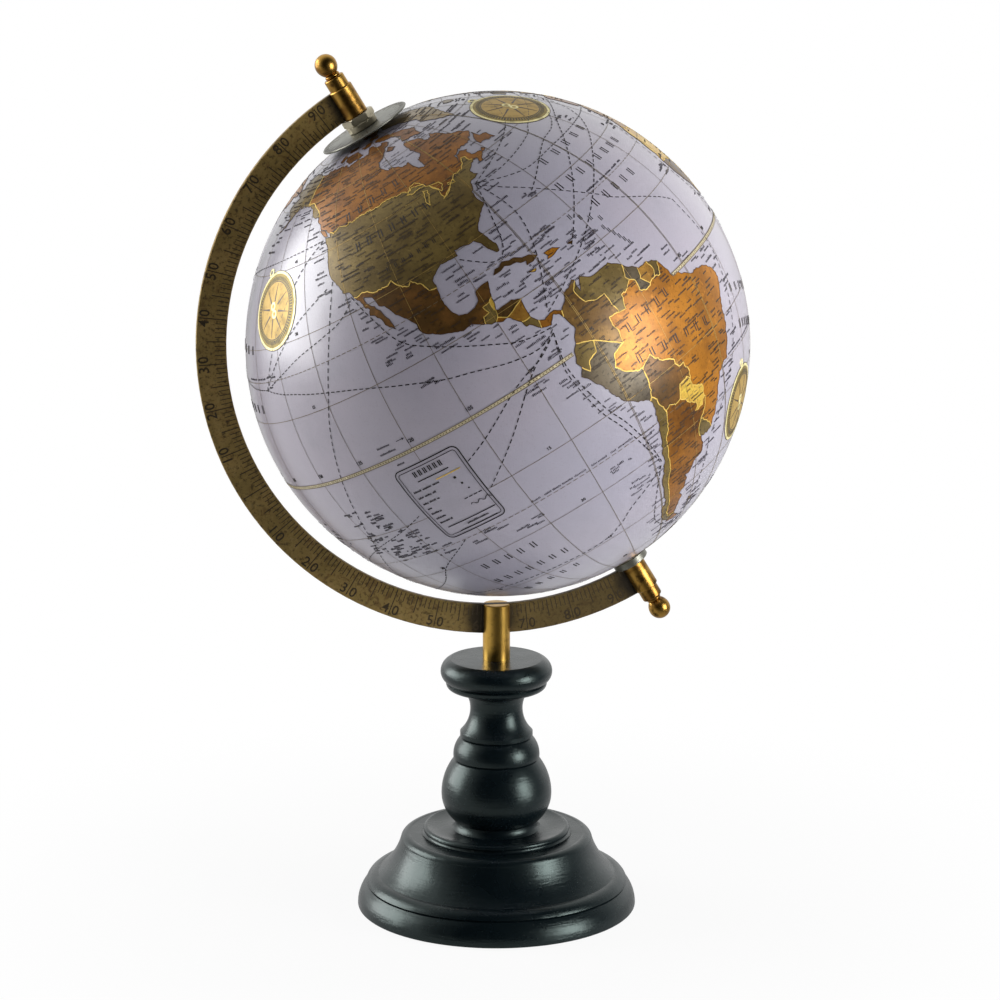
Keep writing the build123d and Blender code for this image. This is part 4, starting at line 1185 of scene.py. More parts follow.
class GLOBE_OT_finishes(bpy.types.Operator):
    """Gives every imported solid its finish"""

    bl_idname = "globe.finishes"
    bl_label = "Finishes"

    def execute(self, context):
        settings = context.scene.globe_finishes
        made = {
            "black_paint": paint_material(settings),
            "felt": felt_material(),
            "steel": steel_material(),
            "polished_brass": polished_brass_material(settings, "tube brass", 0.8),
            "post": polished_brass_material(settings, "post brass", 0.35),
            "aged_brass": aged_brass_material(settings),
            "nickel": nickel_material(settings),
            "nylon": nylon_material(),
            "board": board_material(),
            "dial": dial_material(settings),
        }
        for slot, nodes in SLOT_NODES.items():
            for node in nodes.split():
                solid = frame["nodes"][node]
                solid.data.materials.clear()
                solid.data.materials.append(made[OWN_FINISH.get(node, slot)])
        return {"FINISHED"}


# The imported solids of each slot, and the few whose finish isn't their slot's.
SLOT_NODES = {
    "black_paint": "foot pillar",
    "felt": "felt_pad",
    "steel": "tie_rod base_washer base_nut axle",
    "polished_brass": "stem_post north_tube south_tube north_finial south_finial",
    "aged_brass": "meridian_arm",
    "nickel": "north_nut north_collar south_collar hour_dial north_bush south_bush",
    "nylon": "thrust_washer",
    "board": "lap_ring core_tube",
}
# The dial and the south collar take the darker dial plate, which paints shade on them.
OWN_FINISH = {"hour_dial": "dial", "south_collar": "dial", "stem_post": "post"}


@functools.cache
def outlines():
    return Outlines()


@functools.cache
def land_tree():
    """The lands on the flat map, ready to be searched."""
    sheet = flat_map(outlines().areas, list(TINTS))
    tree = BVHTree.FromBMesh(sheet)
    sheet.free()
    return tree


def on_land(x, y):
    for turn in (0, 360):
        if land_tree().ray_cast(Vector((x + turn, y, 1)), Vector((0, 0, -1)))[0]:
            return True
    return False


def off_coast(x, y):
    """Distance to the nearest land in degrees."""
    return land_tree().find_nearest(Vector((x, y, 0)))[3]


class GLOBE_OT_lands(bpy.types.Operator):
    """Adds the printed lands and lakes as thin patches on the ball"""

    bl_idname = "globe.lands"
    bl_label = "Lands"

    def execute(self, context):
        lands = flat_map(outlines().areas, list(TINTS))
        wrap_sheet(lands, LAND_LOW, LAND_HIGH)
        materials = [land_material(name, *TINTS[name]) for name in TINTS]
        print_piece("printed_lands", lands, *materials)
        lakes = flat_map([("lake", loop) for loop in outlines().lakes], ["lake"])
        wrap_sheet(lakes, LAKE_LOW, LAKE_HIGH)
        print_piece("printed_lakes", lakes, ocean_material(context.scene.globe_ball))
        return {"FINISHED"}


class GLOBE_OT_outlines(bpy.types.Operator):
    """Draws the coasts in brown and the borders in gold"""

    bl_idname = "globe.outlines"
    bl_label = "Outlines"

    def execute(self, context):
        settings = context.scene.globe_print
        brown = ink_material("brown ink", settings.coast)
        shores = outlines().coasts + [lake + lake[:1] for lake in outlines().lakes]
        draw_lines("coast_lines", shores, COAST_LIFT, settings.coast_width, brown)
        gold = foil_material("gold foil", settings.foil)
        draw_lines(
            "border_lines", outlines().borders, BORDER_LIFT, settings.border_width, gold
        )
        return {"FINISHED"}


class GLOBE_OT_grid(bpy.types.Operator):
    """Draws meridians, parallels, the equator and the tropics"""

    bl_idname = "globe.grid"
    bl_label = "Grid"

    def execute(self, context):
        settings = context.scene.globe_print
        steps = [i * 0.75 for i in range(-112, 113)]
        runs = []
        for x in range(-180, 180, 15):
            seam = x in (-75, -45, 15, 105)
            for shift in (-0.16, 0.16) if seam else (0,):
                runs.append([(x + shift, y) for y in steps])
        around = [i * 0.75 - 180 for i in range(481)]
        for y in (-75, -60, -45, -30, -15, 15, 30, 45, 60, 75):
            runs.append([(x, y) for x in around])
        over = {"land": [], "sea": [], "legend": []}
        for run in runs:
            part, ground = [run[0]], ground_at(*run[0])
            for place in run[1:]:
                part.append(place)
                if ground_at(*place) != ground:
                    over[ground].append(part)
                    part, ground = [place], ground_at(*place)
            if len(part) > 1:
                over[ground].append(part)
        brown = ink_material("olive ink", settings.grid)
        gold = foil_material("pale gold foil", settings.grid_foil)
        thin = settings.grid_width
        draw_lines("grid_over_sea", over["sea"], GRID_SEA_LIFT, thin, brown)
        draw_lines("grid_over_land", over["land"], GRID_LAND_LIFT, thin, gold)
        wet = [[]]
        for i in range(721):
            if on_land(i / 2 - 180, 0):
                wet.append([])
            else:
                wet[-1].append((i / 2 - 180, 0))
        wet = [run for run in wet if len(run) > 1]
        edges = [[(x, y) for x, _ in run] for run in wet for y in (-0.34, 0.34)]
        draw_lines("equator_edges", edges, EQUATOR_EDGE_LIFT, 0.3, brown)
        cream = ink_material("cream ink", settings.cream)
        draw_lines("equator_middle", wet, EQUATOR_MIDDLE_LIFT, 1.15, cream, 0.12)
        beads = [dash for run in wet for dash in dashes(run, 0.28, 0.5)]
        draw_lines("equator_dots", beads, EQUATOR_DOT_LIFT, 0.4, brown)
        tropics = []
        for y in (23.44, -23.44, 66.56, -66.56):
            tropics += dashes([(x, y) for x in around], 1.1, 0.5)
        draw_lines("tropic_dashes", tropics, TROPIC_LIFT, 0.24, brown)
        return {"FINISHED"}


# Ship routes: a few places on each, in latitude and longitude.
ROUTES = (
    "21.8 -159, 20.4 -151, 19.4 -143.7, 16.3 -127.2, 12.6 -114.8, 9.5 -105.8, 7.9 -99.8,"
    "5.5 -91.7, 4.8 -85, 7.2 -80",
    "38 -123.5, 33.5 -125.5, 27.1 -128.6, 18.2 -133.3, 10.5 -137.7, 0.1 -142.5, -11.7 -147.7,"
    "-18.7 -152.5, -33 -170, -41 -186",
    "33 -118.5, 27 -114.8, 20.5 -110.7, 16.6 -105, 10.6 -93.5, 8.1 -88.3, 7 -82.6, 7.2 -80",
    "21.8 -159, 24 -150, 26.4 -140.3, 27.9 -131.7, 29.5 -124, 32.5 -118.5",
    "21.8 -159, 27.5 -150, 33 -139, 37.4 -124.5",
    "21.8 -159, 33 -149, 43 -137, 48 -126",
    "21.8 -159, 23 -175, 28 -200, 34 -218",
    "5.8 -81.5, 3 -86.5, 0.6 -94, -6 -107, -12 -124, -15.5 -136, -18.7 -152.5, -24 -170, -36 -186",
    "5.8 -81.5, 1 -90, -10 -103, -22.2 -122.2, -28.8 -138.2, -34.9 -151.5, -41 -186",
    "5.8 -81.5, -2.2 -83, -12.6 -80.6, -19 -77.6, -26 -74.8, -32.8 -72.6",
    "5.8 -81.5, -2.2 -83.6, -12.6 -81.9, -19 -79, -26 -76, -32.8 -73",
    "-33.4 -73.2, -35.8 -77.5, -38.9 -85, -42.1 -90.6, -44.3 -100.7, -43 -140, -41.5 -178",
    "-33.4 -73.2, -42.2 -77.2, -50 -78, -56.8 -70, -55 -60, -35.5 -53.5",
    "40 -72.8, 39.4 -69.2, 39.8 -59.7, 41.6 -46, 43.6 -39.1, 48.5 -15, 50 -6",
    "31.4 -63.6, 33.5 -58.6, 36 -52.6, 38.2 -45.1, 39.7 -34, 47 -12, 49.5 -6",
    "40 -73.2, 36 -68.7, 32.4 -63.8, 22 -51, 19.2 -47.6, 12 -34.2, 8.7 -32.3, -5 -31, -22 -37.5,"
    "-36 -53",
    "17.8 -66.5, 26.5 -54.7, 33.4 -43.8, 39.6 -30.2, 43.4 -11",
    "40 -73, 36 -60, 36 -45, 36 -20, 36 -7",
    "39.5 -72.8, 30 -71, 21.5 -73.8, 12 -79, 9.8 -79.9",
    "39.5 -73.2, 32 -76.5, 25.5 -79.3, 24 -83, 28.8 -90",
    "9.8 -79.9, 16 -66, 28 -42, 37 -20, 48 -7",
    "40 -73, 47 -45, 55 -25, 58.8 -5",
    "35.6 -7, 25 -17.5, 14.5 -19.5, 3 -12, -15 5, -34.6 17, -36 21",
    "-36 21, -34 60, -33 95, -36 114, -40 140, -38.5 146",
    "11.8 52, 8 65, 6 79.5, 5.8 94, 1.2 104.3, 9 111, 21.8 114.5, 30 124, 34 136",
    "-36 21, -20 62, 5 79",
    "32 -218, 42 -195, 46 -175, 47.5 -150, 48 -125.5",
)
LEGEND_LINE_START = -126.4  # longitude at which its lines begin
LEGEND = (-127.9, -111.2, -21.9, -3.0)  # west, east, south and north edges


def in_legend(x, y, margin=1):
    """Whether a place is in the legend's frame, or so many degrees outside it."""
    west, east, south, north = LEGEND
    return west - margin < x < east + margin and south - margin < y < north + margin


def ground_at(x, y):
    """What lies under the grid at a place."""
    if in_legend(x, y, 0):
        return "legend"
    return "land" if on_land(x, y) else "sea"


class GLOBE_OT_routes(bpy.types.Operator):
    """Draws the dashed ship routes"""

    bl_idname = "globe.routes"
    bl_label = "Ship routes"

    def execute(self, context):
        settings = context.scene.globe_print
        parts = []
        for text in ROUTES:
            parts += dashes(smooth_run(chain(text)), 0.95, 0.62)
        parts = [run for run in parts if not in_legend(*run[0]) and not on_land(*run[0])]
        ink = ink_material("black ink", settings.ink)
        draw_lines("ship_routes", parts, ROUTE_LIFT, settings.route_width, ink)
        return {"FINISHED"}


class GLOBE_OT_legend(bpy.types.Operator):
    """Adds the legend frame with bars in place of its words"""

    bl_idname = "globe.legend"
    bl_label = "Legend"

    def execute(self, context):
        settings = context.scene.globe_print
        ink = ink_material("legend ink", settings.ink)
        gold = foil_material("legend foil", settings.foil)
        west, east, south, north = LEGEND

        def frame_line(inset, corner):
            loop = []
            for cx, cy, start in (
                (east - corner, north - corner, 0), (west + corner, north - corner, 90),
                (west + corner, south + corner, 180), (east - corner, south + corner, 270),
            ):
                for i in range(7):
                    turn = math.radians(start + i * 15)
                    reach = corner - inset
                    loop.append((cx + reach * math.cos(turn), cy + reach * math.sin(turn)))
            whole = []
            for start, end in zip(loop, loop[1:] + loop[:1]):
                whole += divide(start, end, max(1, round(math.dist(start, end) / 1.5)))
            return whole + whole[:1]

        def rule(x0, x1, y):
            return divide((x0, y), (x1, y), 8, last=True)

        lines = [frame_line(0, 1.5), rule(-123.6, -115.4, -6.7), rule(-125.6, -112.2, -19.0)]
        draw_lines("legend_frame", lines, LEGEND_LIFT, 0.5, ink)
        inner = [frame_line(0.75, 1.5), rule(-123.8, -113.2, -21.0)]
        draw_lines("legend_inner_frame", inner, LEGEND_INNER_LIFT, 0.3, ink)
        draw = random.Random(11)
        marks = Marks()
        for i in range(6):
            for side in (-0.42, 0.42):
                marks.bar(local_axes(-123.2 + i * 1.35, -5.0, LEGEND_MARK_LIFT), side, 0, 0.4, 2.4)
        for length, y in ((12.5, -8.6), (8.5, -10.2), (8.0, -11.8), (2.2, -13.2), (4.6, -14.6),
                          (5.0, -16.0), (6.0, -17.3)):
            done = 0.0
            while done < length:
                part = min(draw.uniform(2.5, 5), length - done)
                middle = LEGEND_LINE_START + (done + part / 2) * LEGEND_DEGREES_PER_MM
                axes = local_axes(middle, y, LEGEND_MARK_LIFT)
                marks.word(draw, axes, part, 0.85, BAR_THICK)
                done += part + 0.7
        marks.word(draw, local_axes(-117.8, -20, LEGEND_MARK_LIFT), 10, 0.9, BAR_THICK)
        for i in range(4):
            marks.bar(local_axes(-116.6 + i * 1.25, -14.6, LEGEND_MARK_LIFT), 0, 0, 1.5, 0.3)
        for x, y, size in ((-115.6, -9.3, 0.95), (-115, -11.1, 0.8), (-114.4, -12.7, 0.6)):
            marks.bar(local_axes(x, y, LEGEND_MARK_LIFT), 0, 0, size, size)
        print_piece("legend_marks", marks.done(), ink)
        bright = [rule(-119.5, -113.2, -7.9)]
        draw_lines("legend_gold_line", bright, LEGEND_LIFT, 0.5, gold)
        wave = [(-116.6 + i * 0.4, -16.4 + 0.35 * math.sin(i * 1.3)) for i in range(14)]
        draw_lines("legend_wave", [wave], LEGEND_LIFT, 0.35, ink)
        return {"FINISHED"}


def turned_ring(shape, inner, outer, low, high, tint, steps=96):
    """A flat ring or disc, in mm, spun about the z axis."""
    count = max(1, math.ceil((outer - inner) / 2.5))
    reach = [inner + (outer - inner) * i / count for i in range(count + 1)]
    corners = [(r, high) for r in reach] + [(r, low) for r in reversed(reach)]
    verts = [shape.verts.new((r, 0, h)) for r, h in corners]
    edges = [shape.edges.new(pair) for pair in zip(verts, verts[1:])]
    if inner > 0:
        edges.append(shape.edges.new((verts[-1], verts[0])))
    bmesh.ops.spin(
        shape, geom=verts + edges, cent=(0, 0, 0), axis=(0, 0, 1), angle=math.tau,
        steps=steps, use_merge=True,
    )
    whole = joined_to(verts[0], lambda vert: [v for e in vert.link_edges for v in e.verts])
    tint_faces(faces_of(whole), tint)
    return list(whole)


def lay_on_ball(shape, x, y, turn):
    """Bends a flat shape, in mm, on to the ball round a place, turned by so many degrees."""
    axes = local_axes(x, y)
    out = (axes.translation - BALL_CENTRE).normalized()
    spin = Matrix.Rotation(math.radians(turn), 3, "Z")
    level = axes.to_3x3()
    for vert in shape.verts:
        flat = spin @ Vector((vert.co.x, vert.co.y, 0))
        reach = flat.length * MM
        angle = reach / BALL_RADIUS
        way = (level @ flat).normalized() if reach else out
        height = BALL_RADIUS + vert.co.z * MM
        vert.co = BALL_CENTRE + (out * math.cos(angle) + way * math.sin(angle)) * height


# Compass roses: longitude, latitude and turn; then their radii in millimetres.
ROSES = ((-151.3, 37.3, 20), (-29.5, 49.5, -13), (-32.5, -36.5, 0), (78, -28, 0), (-205, -2, 8))


ROSE_RADIUS, BAND_RADIUS, FIELD_RADIUS, NEEDLE_MIDDLE = 16.0, 14.7, 11.4, 7.2
GOLD, TAN, DARK, CREAM = range(4)


def add_needle(shape, turn):
    """A tapered ray of a compass rose, cut across so that it can bend with the ball."""
    needle = bmesh.ops.create_cube(
        shape, size=1,
        matrix=Matrix.Translation((NEEDLE_MIDDLE, 0, 0.12)) @ Matrix.Diagonal((7.4, 0.85, 0.22, 1)),
    )["verts"]
    for vert in needle:
        if vert.co.x > NEEDLE_MIDDLE:
            vert.co.y *= 0.22
    faces = list(faces_of(needle))
    geom = needle + list({e for f in faces for e in f.edges}) + faces
    for reach in (5, NEEDLE_MIDDLE, 9.2):
        geom = bmesh.ops.bisect_plane(
            shape, geom=geom, plane_co=(reach, 0, 0), plane_no=(1, 0, 0)
        )["geom"]
    tint_faces([g for g in geom if isinstance(g, bmesh.types.BMFace)], DARK)
    verts = [g for g in geom if isinstance(g, bmesh.types.BMVert)]
    bmesh.ops.rotate(shape, verts=verts, matrix=Matrix.Rotation(turn, 3, "Z"))


class GLOBE_OT_roses(bpy.types.Operator):
    """Adds the compass roses"""

    bl_idname = "globe.roses"
    bl_label = "Compass roses"

    def execute(self, context):
        settings = context.scene.globe_print
        materials = [
            foil_material("rose gold", settings.rose),
            foil_material("rose tan", settings.rose_tan),
            ink_material("rose ink", settings.rose_ink),
            foil_material("rose cream", settings.rose_cream),
        ]
        for number, (x, y, turn) in enumerate(ROSES, 1):
            shape = bmesh.new()
            turned_ring(shape, 0, ROSE_RADIUS, -0.05, 0.12, DARK)
            turned_ring(shape, BAND_RADIUS, 15.7, 0.05, 0.17, CREAM)
            turned_ring(shape, 0, BAND_RADIUS, 0.0, 0.15, GOLD)
            turned_ring(shape, 0, FIELD_RADIUS, 0.0, 0.18, TAN)
            turned_ring(shape, FIELD_RADIUS, 11.7, 0.0, 0.2, DARK)
            bow = turned_ring(shape, 1.0, 1.8, 0.0, 0.22, CREAM, 24)
            bmesh.ops.translate(shape, verts=bow, vec=(0, ROSE_RADIUS + 1, 0))
            for side in (-1, 1):
                ring = turned_ring(shape, 0.9, 1.75, 0.0, 0.24, CREAM, 24)
                bmesh.ops.translate(shape, verts=ring, vec=(0, side * 1.75, 0))
            for i in range(72):
                tick = bmesh.ops.create_cube(
                    shape, size=1,
                    matrix=Matrix.Rotation(math.tau * i / 72, 4, "Z")
                    @ Matrix.Translation((12.8, 0, 0.1)) @ Matrix.Diagonal((1.5, 0.5, 0.2, 1)),
                )
                tint_faces(faces_of(tick["verts"]), DARK)
            for i in range(8):
                add_needle(shape, math.tau * (i + 0.35) / 8)
            bmesh.ops.remove_doubles(shape, verts=shape.verts, dist=0.0005)
            bmesh.ops.recalc_face_normals(shape, faces=shape.faces)
            lay_on_ball(shape, x, y, turn)
            print_piece(f"compass_rose_{number}", shape, *materials)
        return {"FINISHED"}


def place_figure(shape, text, size, axes, thick=BAR_THICK):
    """Adds a number, sized in millimetres and centred on the axes."""
    curve = bpy.data.curves.new("figure", "FONT")
    curve.body = text
    curve.size = size
    curve.extrude = thick / 2
    curve.offset = size * 0.012
    curve.resolution_u = 3
    curve.align_x = "CENTER"
    curve.align_y = "CENTER"
    mesh = mesh_from(curve)
    mesh.transform(axes @ Matrix.Scale(MM, 4))
    shape.from_mesh(mesh)
    bpy.data.meshes.remove(mesh)


# Wide words: the places of the first and last letters, their count and their height.
TITLES = (
    (-53.4, 34.6, -30.1, 34.4, 5, 3.6), (-57.3, 28.5, -26.7, 27.4, 8, 3.6),
    (-53.7, 21.4, -36.5, 21, 5, 3.6), (-129.1, -33, -112.8, -33.1, 5, 3.6),
    (-133.2, -39.6, -108.2, -39.7, 7, 3.6), (-133.4, -48.3, -110.4, -47.5, 5, 3.2),
    (-62, 22.4, -56, 18.4, 4, 2.2), (-57.2, 16.6, -54.4, 11, 6, 2.0),
    (-114.1, 50.6, -92.5, 52.1, 5, 3.4), (-112.4, 42.4, -88.2, 42.4, 7, 3.6),
    (-106, 34.5, -92, 34.5, 7, 2), (-67.1, -2.4, -54.6, -1.6, 5, 3.4),
    (-68.4, -9.1, -47.1, -12.3, 7, 3.6), (-30, -12, -14, -16, 5, 3.4),
    (-30, -20, -12, -24, 8, 3.4), (0, 16, 32, 10, 6, 3.6), (52, -8, 92, -14, 6, 3.6),
    (58, -17, 88, -22, 5, 3.6), (62, 58, 128, 56, 4, 3.6), (118, -24, 146, -26, 9, 3.4),
    (-190, 30, -168, 30, 5, 3.4), (-192, 18, -166, 18, 7, 3.4),
)
# Island print: the middle of each group, its spread both ways and its count of words.
CLUSTERS = (
    (-144, -12, 7, 4.5, 26), (-142, -20, 9, 4.5, 40), (-150, -17, 4, 3, 14),
    (-134, -24, 5, 2, 8), (-118, -24.6, 7, 1.2, 7), (-91, -1, 3.4, 1.6, 12),
    (-112, 18.5, 3.2, 2, 8), (-109.5, 10.6, 2.4, 0.9, 4), (-83, -27.6, 3, 1.6, 7),
    (-80, -34.5, 3.4, 2.2, 9), (-108.5, -27.6, 3, 1.4, 6), (-64.5, 31, 2.6, 1.4, 6),
    (-28, 38, 3, 1.6, 7), (-24, 16, 2.6, 1.6, 7), (-16.5, 29.5, 3, 1.6, 7),
    (-59, -53, 3, 1.6, 7), (-37, -55.5, 3, 1.4, 5), (-6, -16, 3, 1.4, 5),
    (-171, -14, 8, 4, 22), (-177, -20, 6, 4, 16), (-198, 8, 12, 4, 22), (-202, -15, 8, 4, 16),
    (57, -19, 4, 2, 8), (55.5, -5, 3, 1.6, 6), (73, 3, 2, 4, 7), (-157, 23, 4, 1.6, 8),
    (-62, 15.5, 2.6, 3.2, 18), (-72, 22.6, 4, 1.8, 12), (-81, 18, 4, 1.6, 8),
    (-77, 13.5, 5, 1.8, 10),
)
TITLE_SPREAD, TITLE_STROKE = 0.19, 0.11  # as shares of a letter's height
MM_PER_DEGREE = 1.773
TROPIC_DEGREES_PER_MM = 0.61
LEGEND_DEGREES_PER_MM = 0.575
WORD_GAP = 0.8
# Print along the tropics: west end, east end and latitude.
TROPIC_WORDS = ((-104, -77, -22.7), (-40, -18, -22.7), (118, 150, 24.2), (-172, -160, 24.2),
                (-52, -36, 24.2), (52, 84, -22.7))


class GLOBE_OT_marks(bpy.types.Operator):
    """Adds the fine print as plain strokes, and the degree figures"""

    bl_idname = "globe.marks"
    bl_label = "Fine print"

    def execute(self, context):
        settings = context.scene.globe_print
        draw = random.Random(5)
        ink = ink_material("print ink", settings.ink)
        land, sea, titles = Marks(), Marks(), Marks()
        taken = set()
        for _ in range(settings.words * 6):
            x = draw.uniform(-180, 180)
            y = math.degrees(math.asin(draw.uniform(-0.86, 0.96)))
            front = -170 < x < -30
            if not front and draw.random() < 0.7:
                continue
            size = draw.choice((0.6, 0.66, 0.75, 0.9))
            length = size * draw.choice((4, 5, 6, 8, 10))
            half = length / 2 / MM_PER_DEGREE / math.cos(math.radians(y))
            spot = {(round((x + s * half) / 2.2), round(y / 0.75)) for s in (-1, 0, 1)}
            if spot & taken:
                continue
            ends = {on_land(x + s * half, y + t) for s in (-1, 0, 1) for t in (-0.4, 0.4)}
            if ends == {True}:
                land.word(draw, local_axes(x, y, LAND_WORD_LIFT), length, size)
            elif ends == {False} and off_coast(x, y) < (4.5 if draw.random() < 0.5 else 2.2):
                sea.word(draw, local_axes(x, y, SEA_WORD_LIFT), length, size * 1.12)
            else:
                continue
            taken |= spot
        for x, y, wide, tall, count in CLUSTERS:
            for _ in range(count):
                spot = (x + draw.uniform(-wide, wide), y + draw.uniform(-tall, tall))
                if not on_land(*spot) and not in_legend(*spot):
                    size = draw.choice((0.75, 0.85, 1.0))
                    axes = local_axes(*spot, SEA_WORD_LIFT)
                    sea.word(draw, axes, size * draw.choice((1, 3, 4, 6)), size)
        for west, east, y in TROPIC_WORDS:
            x = west
            while x < east:
                length = draw.uniform(2.2, 5.5)
                sea.word(draw, local_axes(x, y, SEA_WORD_LIFT), length, 0.85)
                x += (length + WORD_GAP) * TROPIC_DEGREES_PER_MM
        for x, y, length in ((-126.2, 3.1, 6.5), (-125.8, 1.7, 8.0), (-124.6, -1.6, 3.6)):
            sea.word(draw, local_axes(x, y, SEA_WORD_LIFT), length, 0.85)
        arrow = local_axes(-121.6, 3.0, ARROW_LIFT)
        sea.bar(arrow, 0, 0, 3.2, 0.25)
        for i in range(4):
            sea.bar(arrow, 1.3 + i * 0.22, 0, 0.22, 0.95 - i * 0.25)
        for x0, y0, x1, y1, count, tall in TITLES:
            for x, y in divide((x0, y0), (x1, y1), count - 1, last=True):
                axes = local_axes(x, y, LAND_WORD_LIFT if on_land(x, y) else SEA_TITLE_LIFT)
                for side in (-TITLE_SPREAD, TITLE_SPREAD):
                    titles.bar(axes, side * tall, 0, TITLE_STROKE * tall, tall)
        numbers = bmesh.new()
        for x in range(-165, 181, 15):
            place_figure(numbers, str(abs(x)), 2.2, local_axes(x + 0.6, 1.9, FIGURE_LIFT))
        for x in (-140, -95, -20, 60, 175):
            for y in range(-60, 61, 15):
                if y and not on_land(x, y):
                    place_figure(numbers, str(abs(y)), 1.9, local_axes(x, y + 1, FIGURE_LIFT))
        faint = ink_material("land ink", settings.ink_land)
        print_piece("land_print", land.done(), faint)
        print_piece("title_strokes", titles.done(), ink)
        soft = ink_material("sea ink", settings.ink_sea)
        print_piece("sea_print", sea.done(), soft)
        print_piece("degree_figures", numbers, ink)
        return {"FINISHED"}


class GLOBE_OT_scale(bpy.types.Operator):
    """Adds the degree scale and its figures on both faces of the arm"""

    bl_idname = "globe.scale"
    bl_label = "Arm scale"

    def execute(self, context):
        settings = context.scene.globe_arm
        low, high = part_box("meridian_arm")
        inner = settings.inner / MM
        outer = -low.x / MM
        ticks, figures = Marks(), bmesh.new()
        for normal, face in ((Vector((0, -1, 0)), low.y), (Vector((0, 1, 0)), high.y)):
            for half in (1, -1):
                for degree in range(0 if half > 0 else 1, 94):
                    turn = math.radians(degree * settings.pitch) * half
                    out = POLE * math.sin(turn) - FRONT * math.cos(turn)
                    away = (POLE * math.cos(turn) + FRONT * math.sin(turn)) * half
                    tens, fives = degree % 10 == 0, degree % 5 == 0
                    end = outer - 0.9 if tens else inner + (7.6 if fives else 4.7)
                    if degree > 90:
                        end = inner + 2.6
                    middle = (inner + 0.5 + end) / 2
                    axes = axes_at(away, normal.cross(away), normal, ARM_CENTRE + out * middle * MM)
                    axes.translation.y = face
                    wide = 0.42 if fives else 0.34
                    ticks.bar(axes, 0, 0, wide, end - inner - 0.5, ENGRAVING_THICK)
                    if tens and 0 < degree < 91:
                        size = settings.figure / MM
                        for digit, side in ((str(degree // 10), -1), ("0", 1)):
                            spot = axes.copy()
                            spot.translation = ARM_CENTRE + out * (outer - 3.0) * MM
                            spot.translation += away * side * 2.1 * MM
                            spot.translation.y = face
                            place_figure(figures, digit, size, spot, ENGRAVING_THICK)
        ink = ink_material("dark engraving", settings.engraving)
        make_piece("arm_ticks", ticks.done(), "stand", "aged_brass", [ink])
        make_piece("arm_figures", figures, "stand", "aged_brass", [ink])
        return {"FINISHED"}


class GLOBE_OT_dial_marks(bpy.types.Operator):
    """Adds the fine ticks on top of the dial"""

    bl_idname = "globe.dial_marks"
    bl_label = "Dial marks"

    def execute(self, context):
        low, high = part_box("hour_dial")
        middle = (low + high) / 2
        ticks = Marks()
        for i in range(96):
            out = Matrix.Rotation(math.tau * i / 96, 3, POLE) @ EAST
            long = i % 4 == 0
            inner, outer = (12.6 if i % 16 == 0 else 14.2) if long else 16.4, 18.3
            here = middle + POLE * 0.4 * MM + out * (inner + outer) / 2 * MM
            axes = axes_at(POLE.cross(out) * -1, out, POLE, here)
            ticks.bar(axes, 0, 0, 0.4 if long else 0.26, outer - inner, 0.05)
        ink = ink_material("dial marks", context.scene.globe_arm.engraving)
        make_piece("dial_ticks", ticks.done(), "dial", "nickel", [ink])
        return {"FINISHED"}


# Lamps: name, place, size, and whether shiny pieces mirror them.
LAMPS = (
    ("key", (1.14, -0.78, 0.31), (0.58, 0.84), True),
    ("fill", (-1.27, 0.5, 0.5), (1.0, 0.9), True),
    ("front", (0.35, -1.5, 1.75), (1.2, 0.8), False),
    ("side", (1.45, -0.15, 0.4), (0.9, 0.9), False),
)
LAMP_AIM = (0, 0, 0.2)
CAMERA_PLACE = (-0.1790, -1.4893, 0.52405)
CAMERA_TILT, CAMERA_TURN = 76.82, -6.91
FLOOR_RADIUS = 12


class GLOBE_OT_stage(bpy.types.Operator):
    """Adds the floor, the soft lamps and the camera"""

    bl_idname = "globe.stage"
    bl_label = "Stage"

    def execute(self, context):
        settings = context.scene.globe_stage
        scene = context.scene
        scene.view_settings.view_transform = "Standard"
        shape = bmesh.new()
        bmesh.ops.create_circle(shape, cap_ends=True, segments=96, radius=FLOOR_RADIUS)
        bmesh.ops.translate(shape, verts=shape.verts, vec=(0, 0, FLOOR))
        mesh = bpy.data.meshes.new("floor")
        shape.to_mesh(mesh)
        shape.free()
        floor = bpy.data.objects.new("floor", mesh)
        mesh.materials.append(floor_material())
        scene.collection.objects.link(floor)
        for name, place, size, mirrored in LAMPS:
            light = bpy.data.lights.new(name + "_lamp", "AREA")
            light.shape = "RECTANGLE"
            light.size, light.size_y = size
            light.energy = getattr(settings, name)
            lamp = bpy.data.objects.new(name + "_lamp", light)
            aim = Vector(LAMP_AIM) - Vector(place)
            lamp.location = place
            lamp.visible_glossy = mirrored
            lamp.rotation_euler = aim.to_track_quat("-Z", "Y").to_euler()
            scene.collection.objects.link(lamp)
        scene.world = bpy.data.worlds.new("studio")
        light_the_world(scene.world)
        camera = bpy.data.objects.new("camera", bpy.data.cameras.new("camera"))
        camera.data.lens = settings.lens
        camera.data.sensor_width = 36
        camera.location = CAMERA_PLACE
        camera.rotation_euler = (math.radians(CAMERA_TILT), 0, math.radians(CAMERA_TURN))
        scene.collection.objects.link(camera)
        scene.camera = camera
        return {"FINISHED"}


def floor_material():
    """White floor that lightens to white for the eye but keeps a shadow."""
    f = Finish("white floor")
    seen, mirrored = f.seen(), f.ray("Glossy")
    back = f.band(f.measure("DOT_PRODUCT", (-0.45, 0.9, 0)), -0.42, 0.06)
    glow = seen.maths("MAXIMUM", back * mirrored * 0.62)
    share = f.band(f.measure("LENGTH"), 0.07, 0.3) * 0.07 + 0.93
    matt = f.node("ShaderNodeBsdfDiffuse", {}, {"Color": (0.82, 0.82, 0.82)})
    light = f.node("ShaderNodeEmission", {}, {"Color": (1.0, 1.0, 1.0), "Strength": glow})
    mixed = seen.maths("MAXIMUM", mirrored) * share
    f.node_out(f.node("ShaderNodeMixShader", {}, {0: mixed, 1: matt, 2: light}))
    return f.material


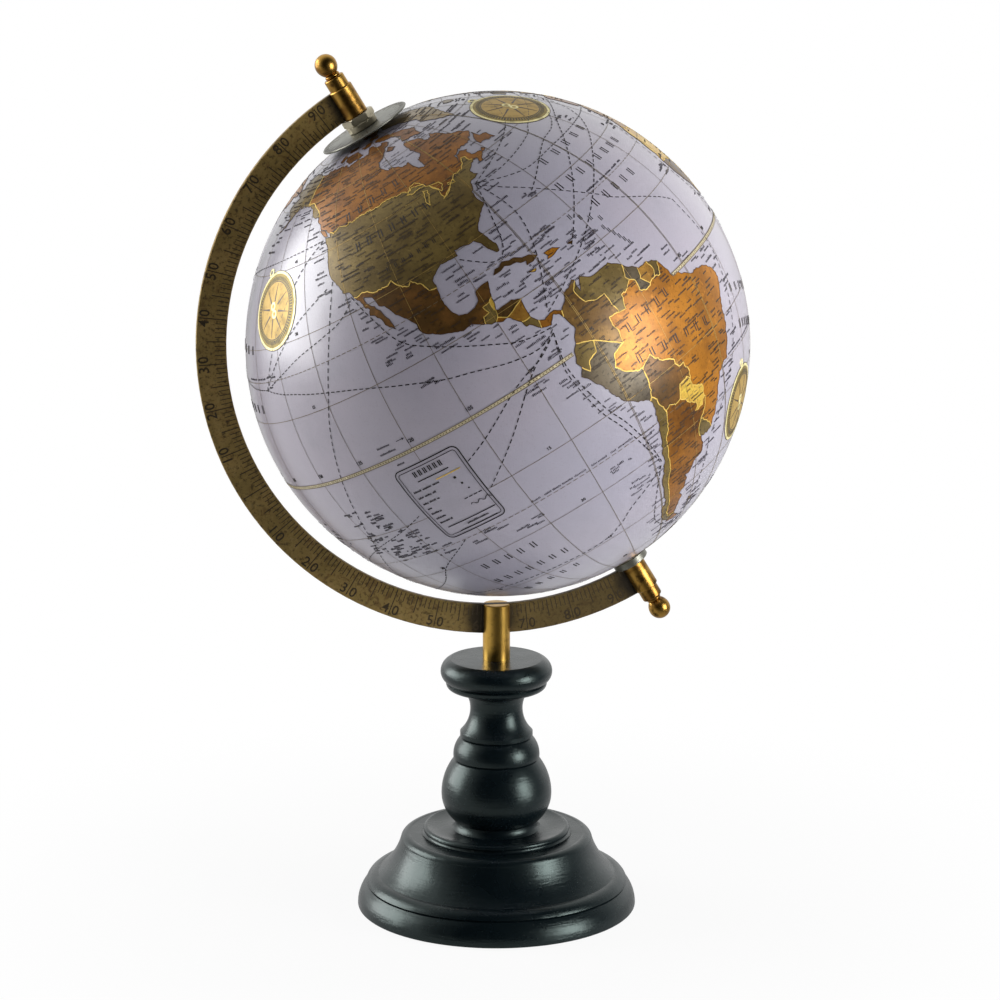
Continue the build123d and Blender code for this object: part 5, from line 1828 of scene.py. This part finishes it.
def light_the_world(world):
    """White to the eye; in mirrored light white round the back and dark behind the viewer."""
    f = Finish("studio", world)
    seen, mirrored = f.seen(), f.ray("Glossy")
    back = f.band(f.measure("DOT_PRODUCT", (-0.28, 0.93, -0.2)), -0.55, 0.45)
    level = seen.maths("MAXIMUM", mirrored * back)
    level = level + (1 - seen) * (1 - mirrored) * 0.13
    sky = f.node("ShaderNodeBackground", {}, {"Color": (1.0, 1.0, 1.0), "Strength": level})
    f.node_out(sky)


OPERATORS = (
    GLOBE_OT_finishes,
    GLOBE_OT_ball,
    GLOBE_OT_lands,
    GLOBE_OT_outlines,
    GLOBE_OT_grid,
    GLOBE_OT_routes,
    GLOBE_OT_legend,
    GLOBE_OT_roses,
    GLOBE_OT_marks,
    GLOBE_OT_scale,
    GLOBE_OT_dial_marks,
    GLOBE_OT_stage,
)


class GLOBE_PT_pieces(bpy.types.Panel):
    """Lists what can be built"""

    bl_idname = "GLOBE_PT_pieces"
    bl_label = "Desk Globe"
    bl_space_type = "VIEW_3D"
    bl_region_type = "UI"
    bl_category = "Globe"

    def draw(self, context):
        for group in SETTINGS:
            box = self.layout.box()
            for name in group.__annotations__:
                box.prop(getattr(context.scene, SETTINGS[group]), name)
        for operator in OPERATORS:
            self.layout.operator(operator.bl_idname)


SETTINGS = {
    GlobeFinishes: "globe_finishes",
    GlobeBall: "globe_ball",
    GlobePrint: "globe_print",
    GlobeArm: "globe_arm",
    GlobeStage: "globe_stage",
}


def register():
    for group, name in SETTINGS.items():
        bpy.utils.register_class(group)
        setattr(bpy.types.Scene, name, bpy.props.PointerProperty(type=group))
    for made in (*OPERATORS, GLOBE_PT_pieces):
        bpy.utils.register_class(made)


def unregister():
    for made in (GLOBE_PT_pieces, *reversed(OPERATORS)):
        bpy.utils.unregister_class(made)
    for group, name in SETTINGS.items():
        delattr(bpy.types.Scene, name)
        bpy.utils.unregister_class(group)


def main():
    register()
    for operator in OPERATORS:
        kind, name = operator.bl_idname.split(".")
        getattr(getattr(bpy.ops, kind), name)()


if __name__ == "__main__":
    main()
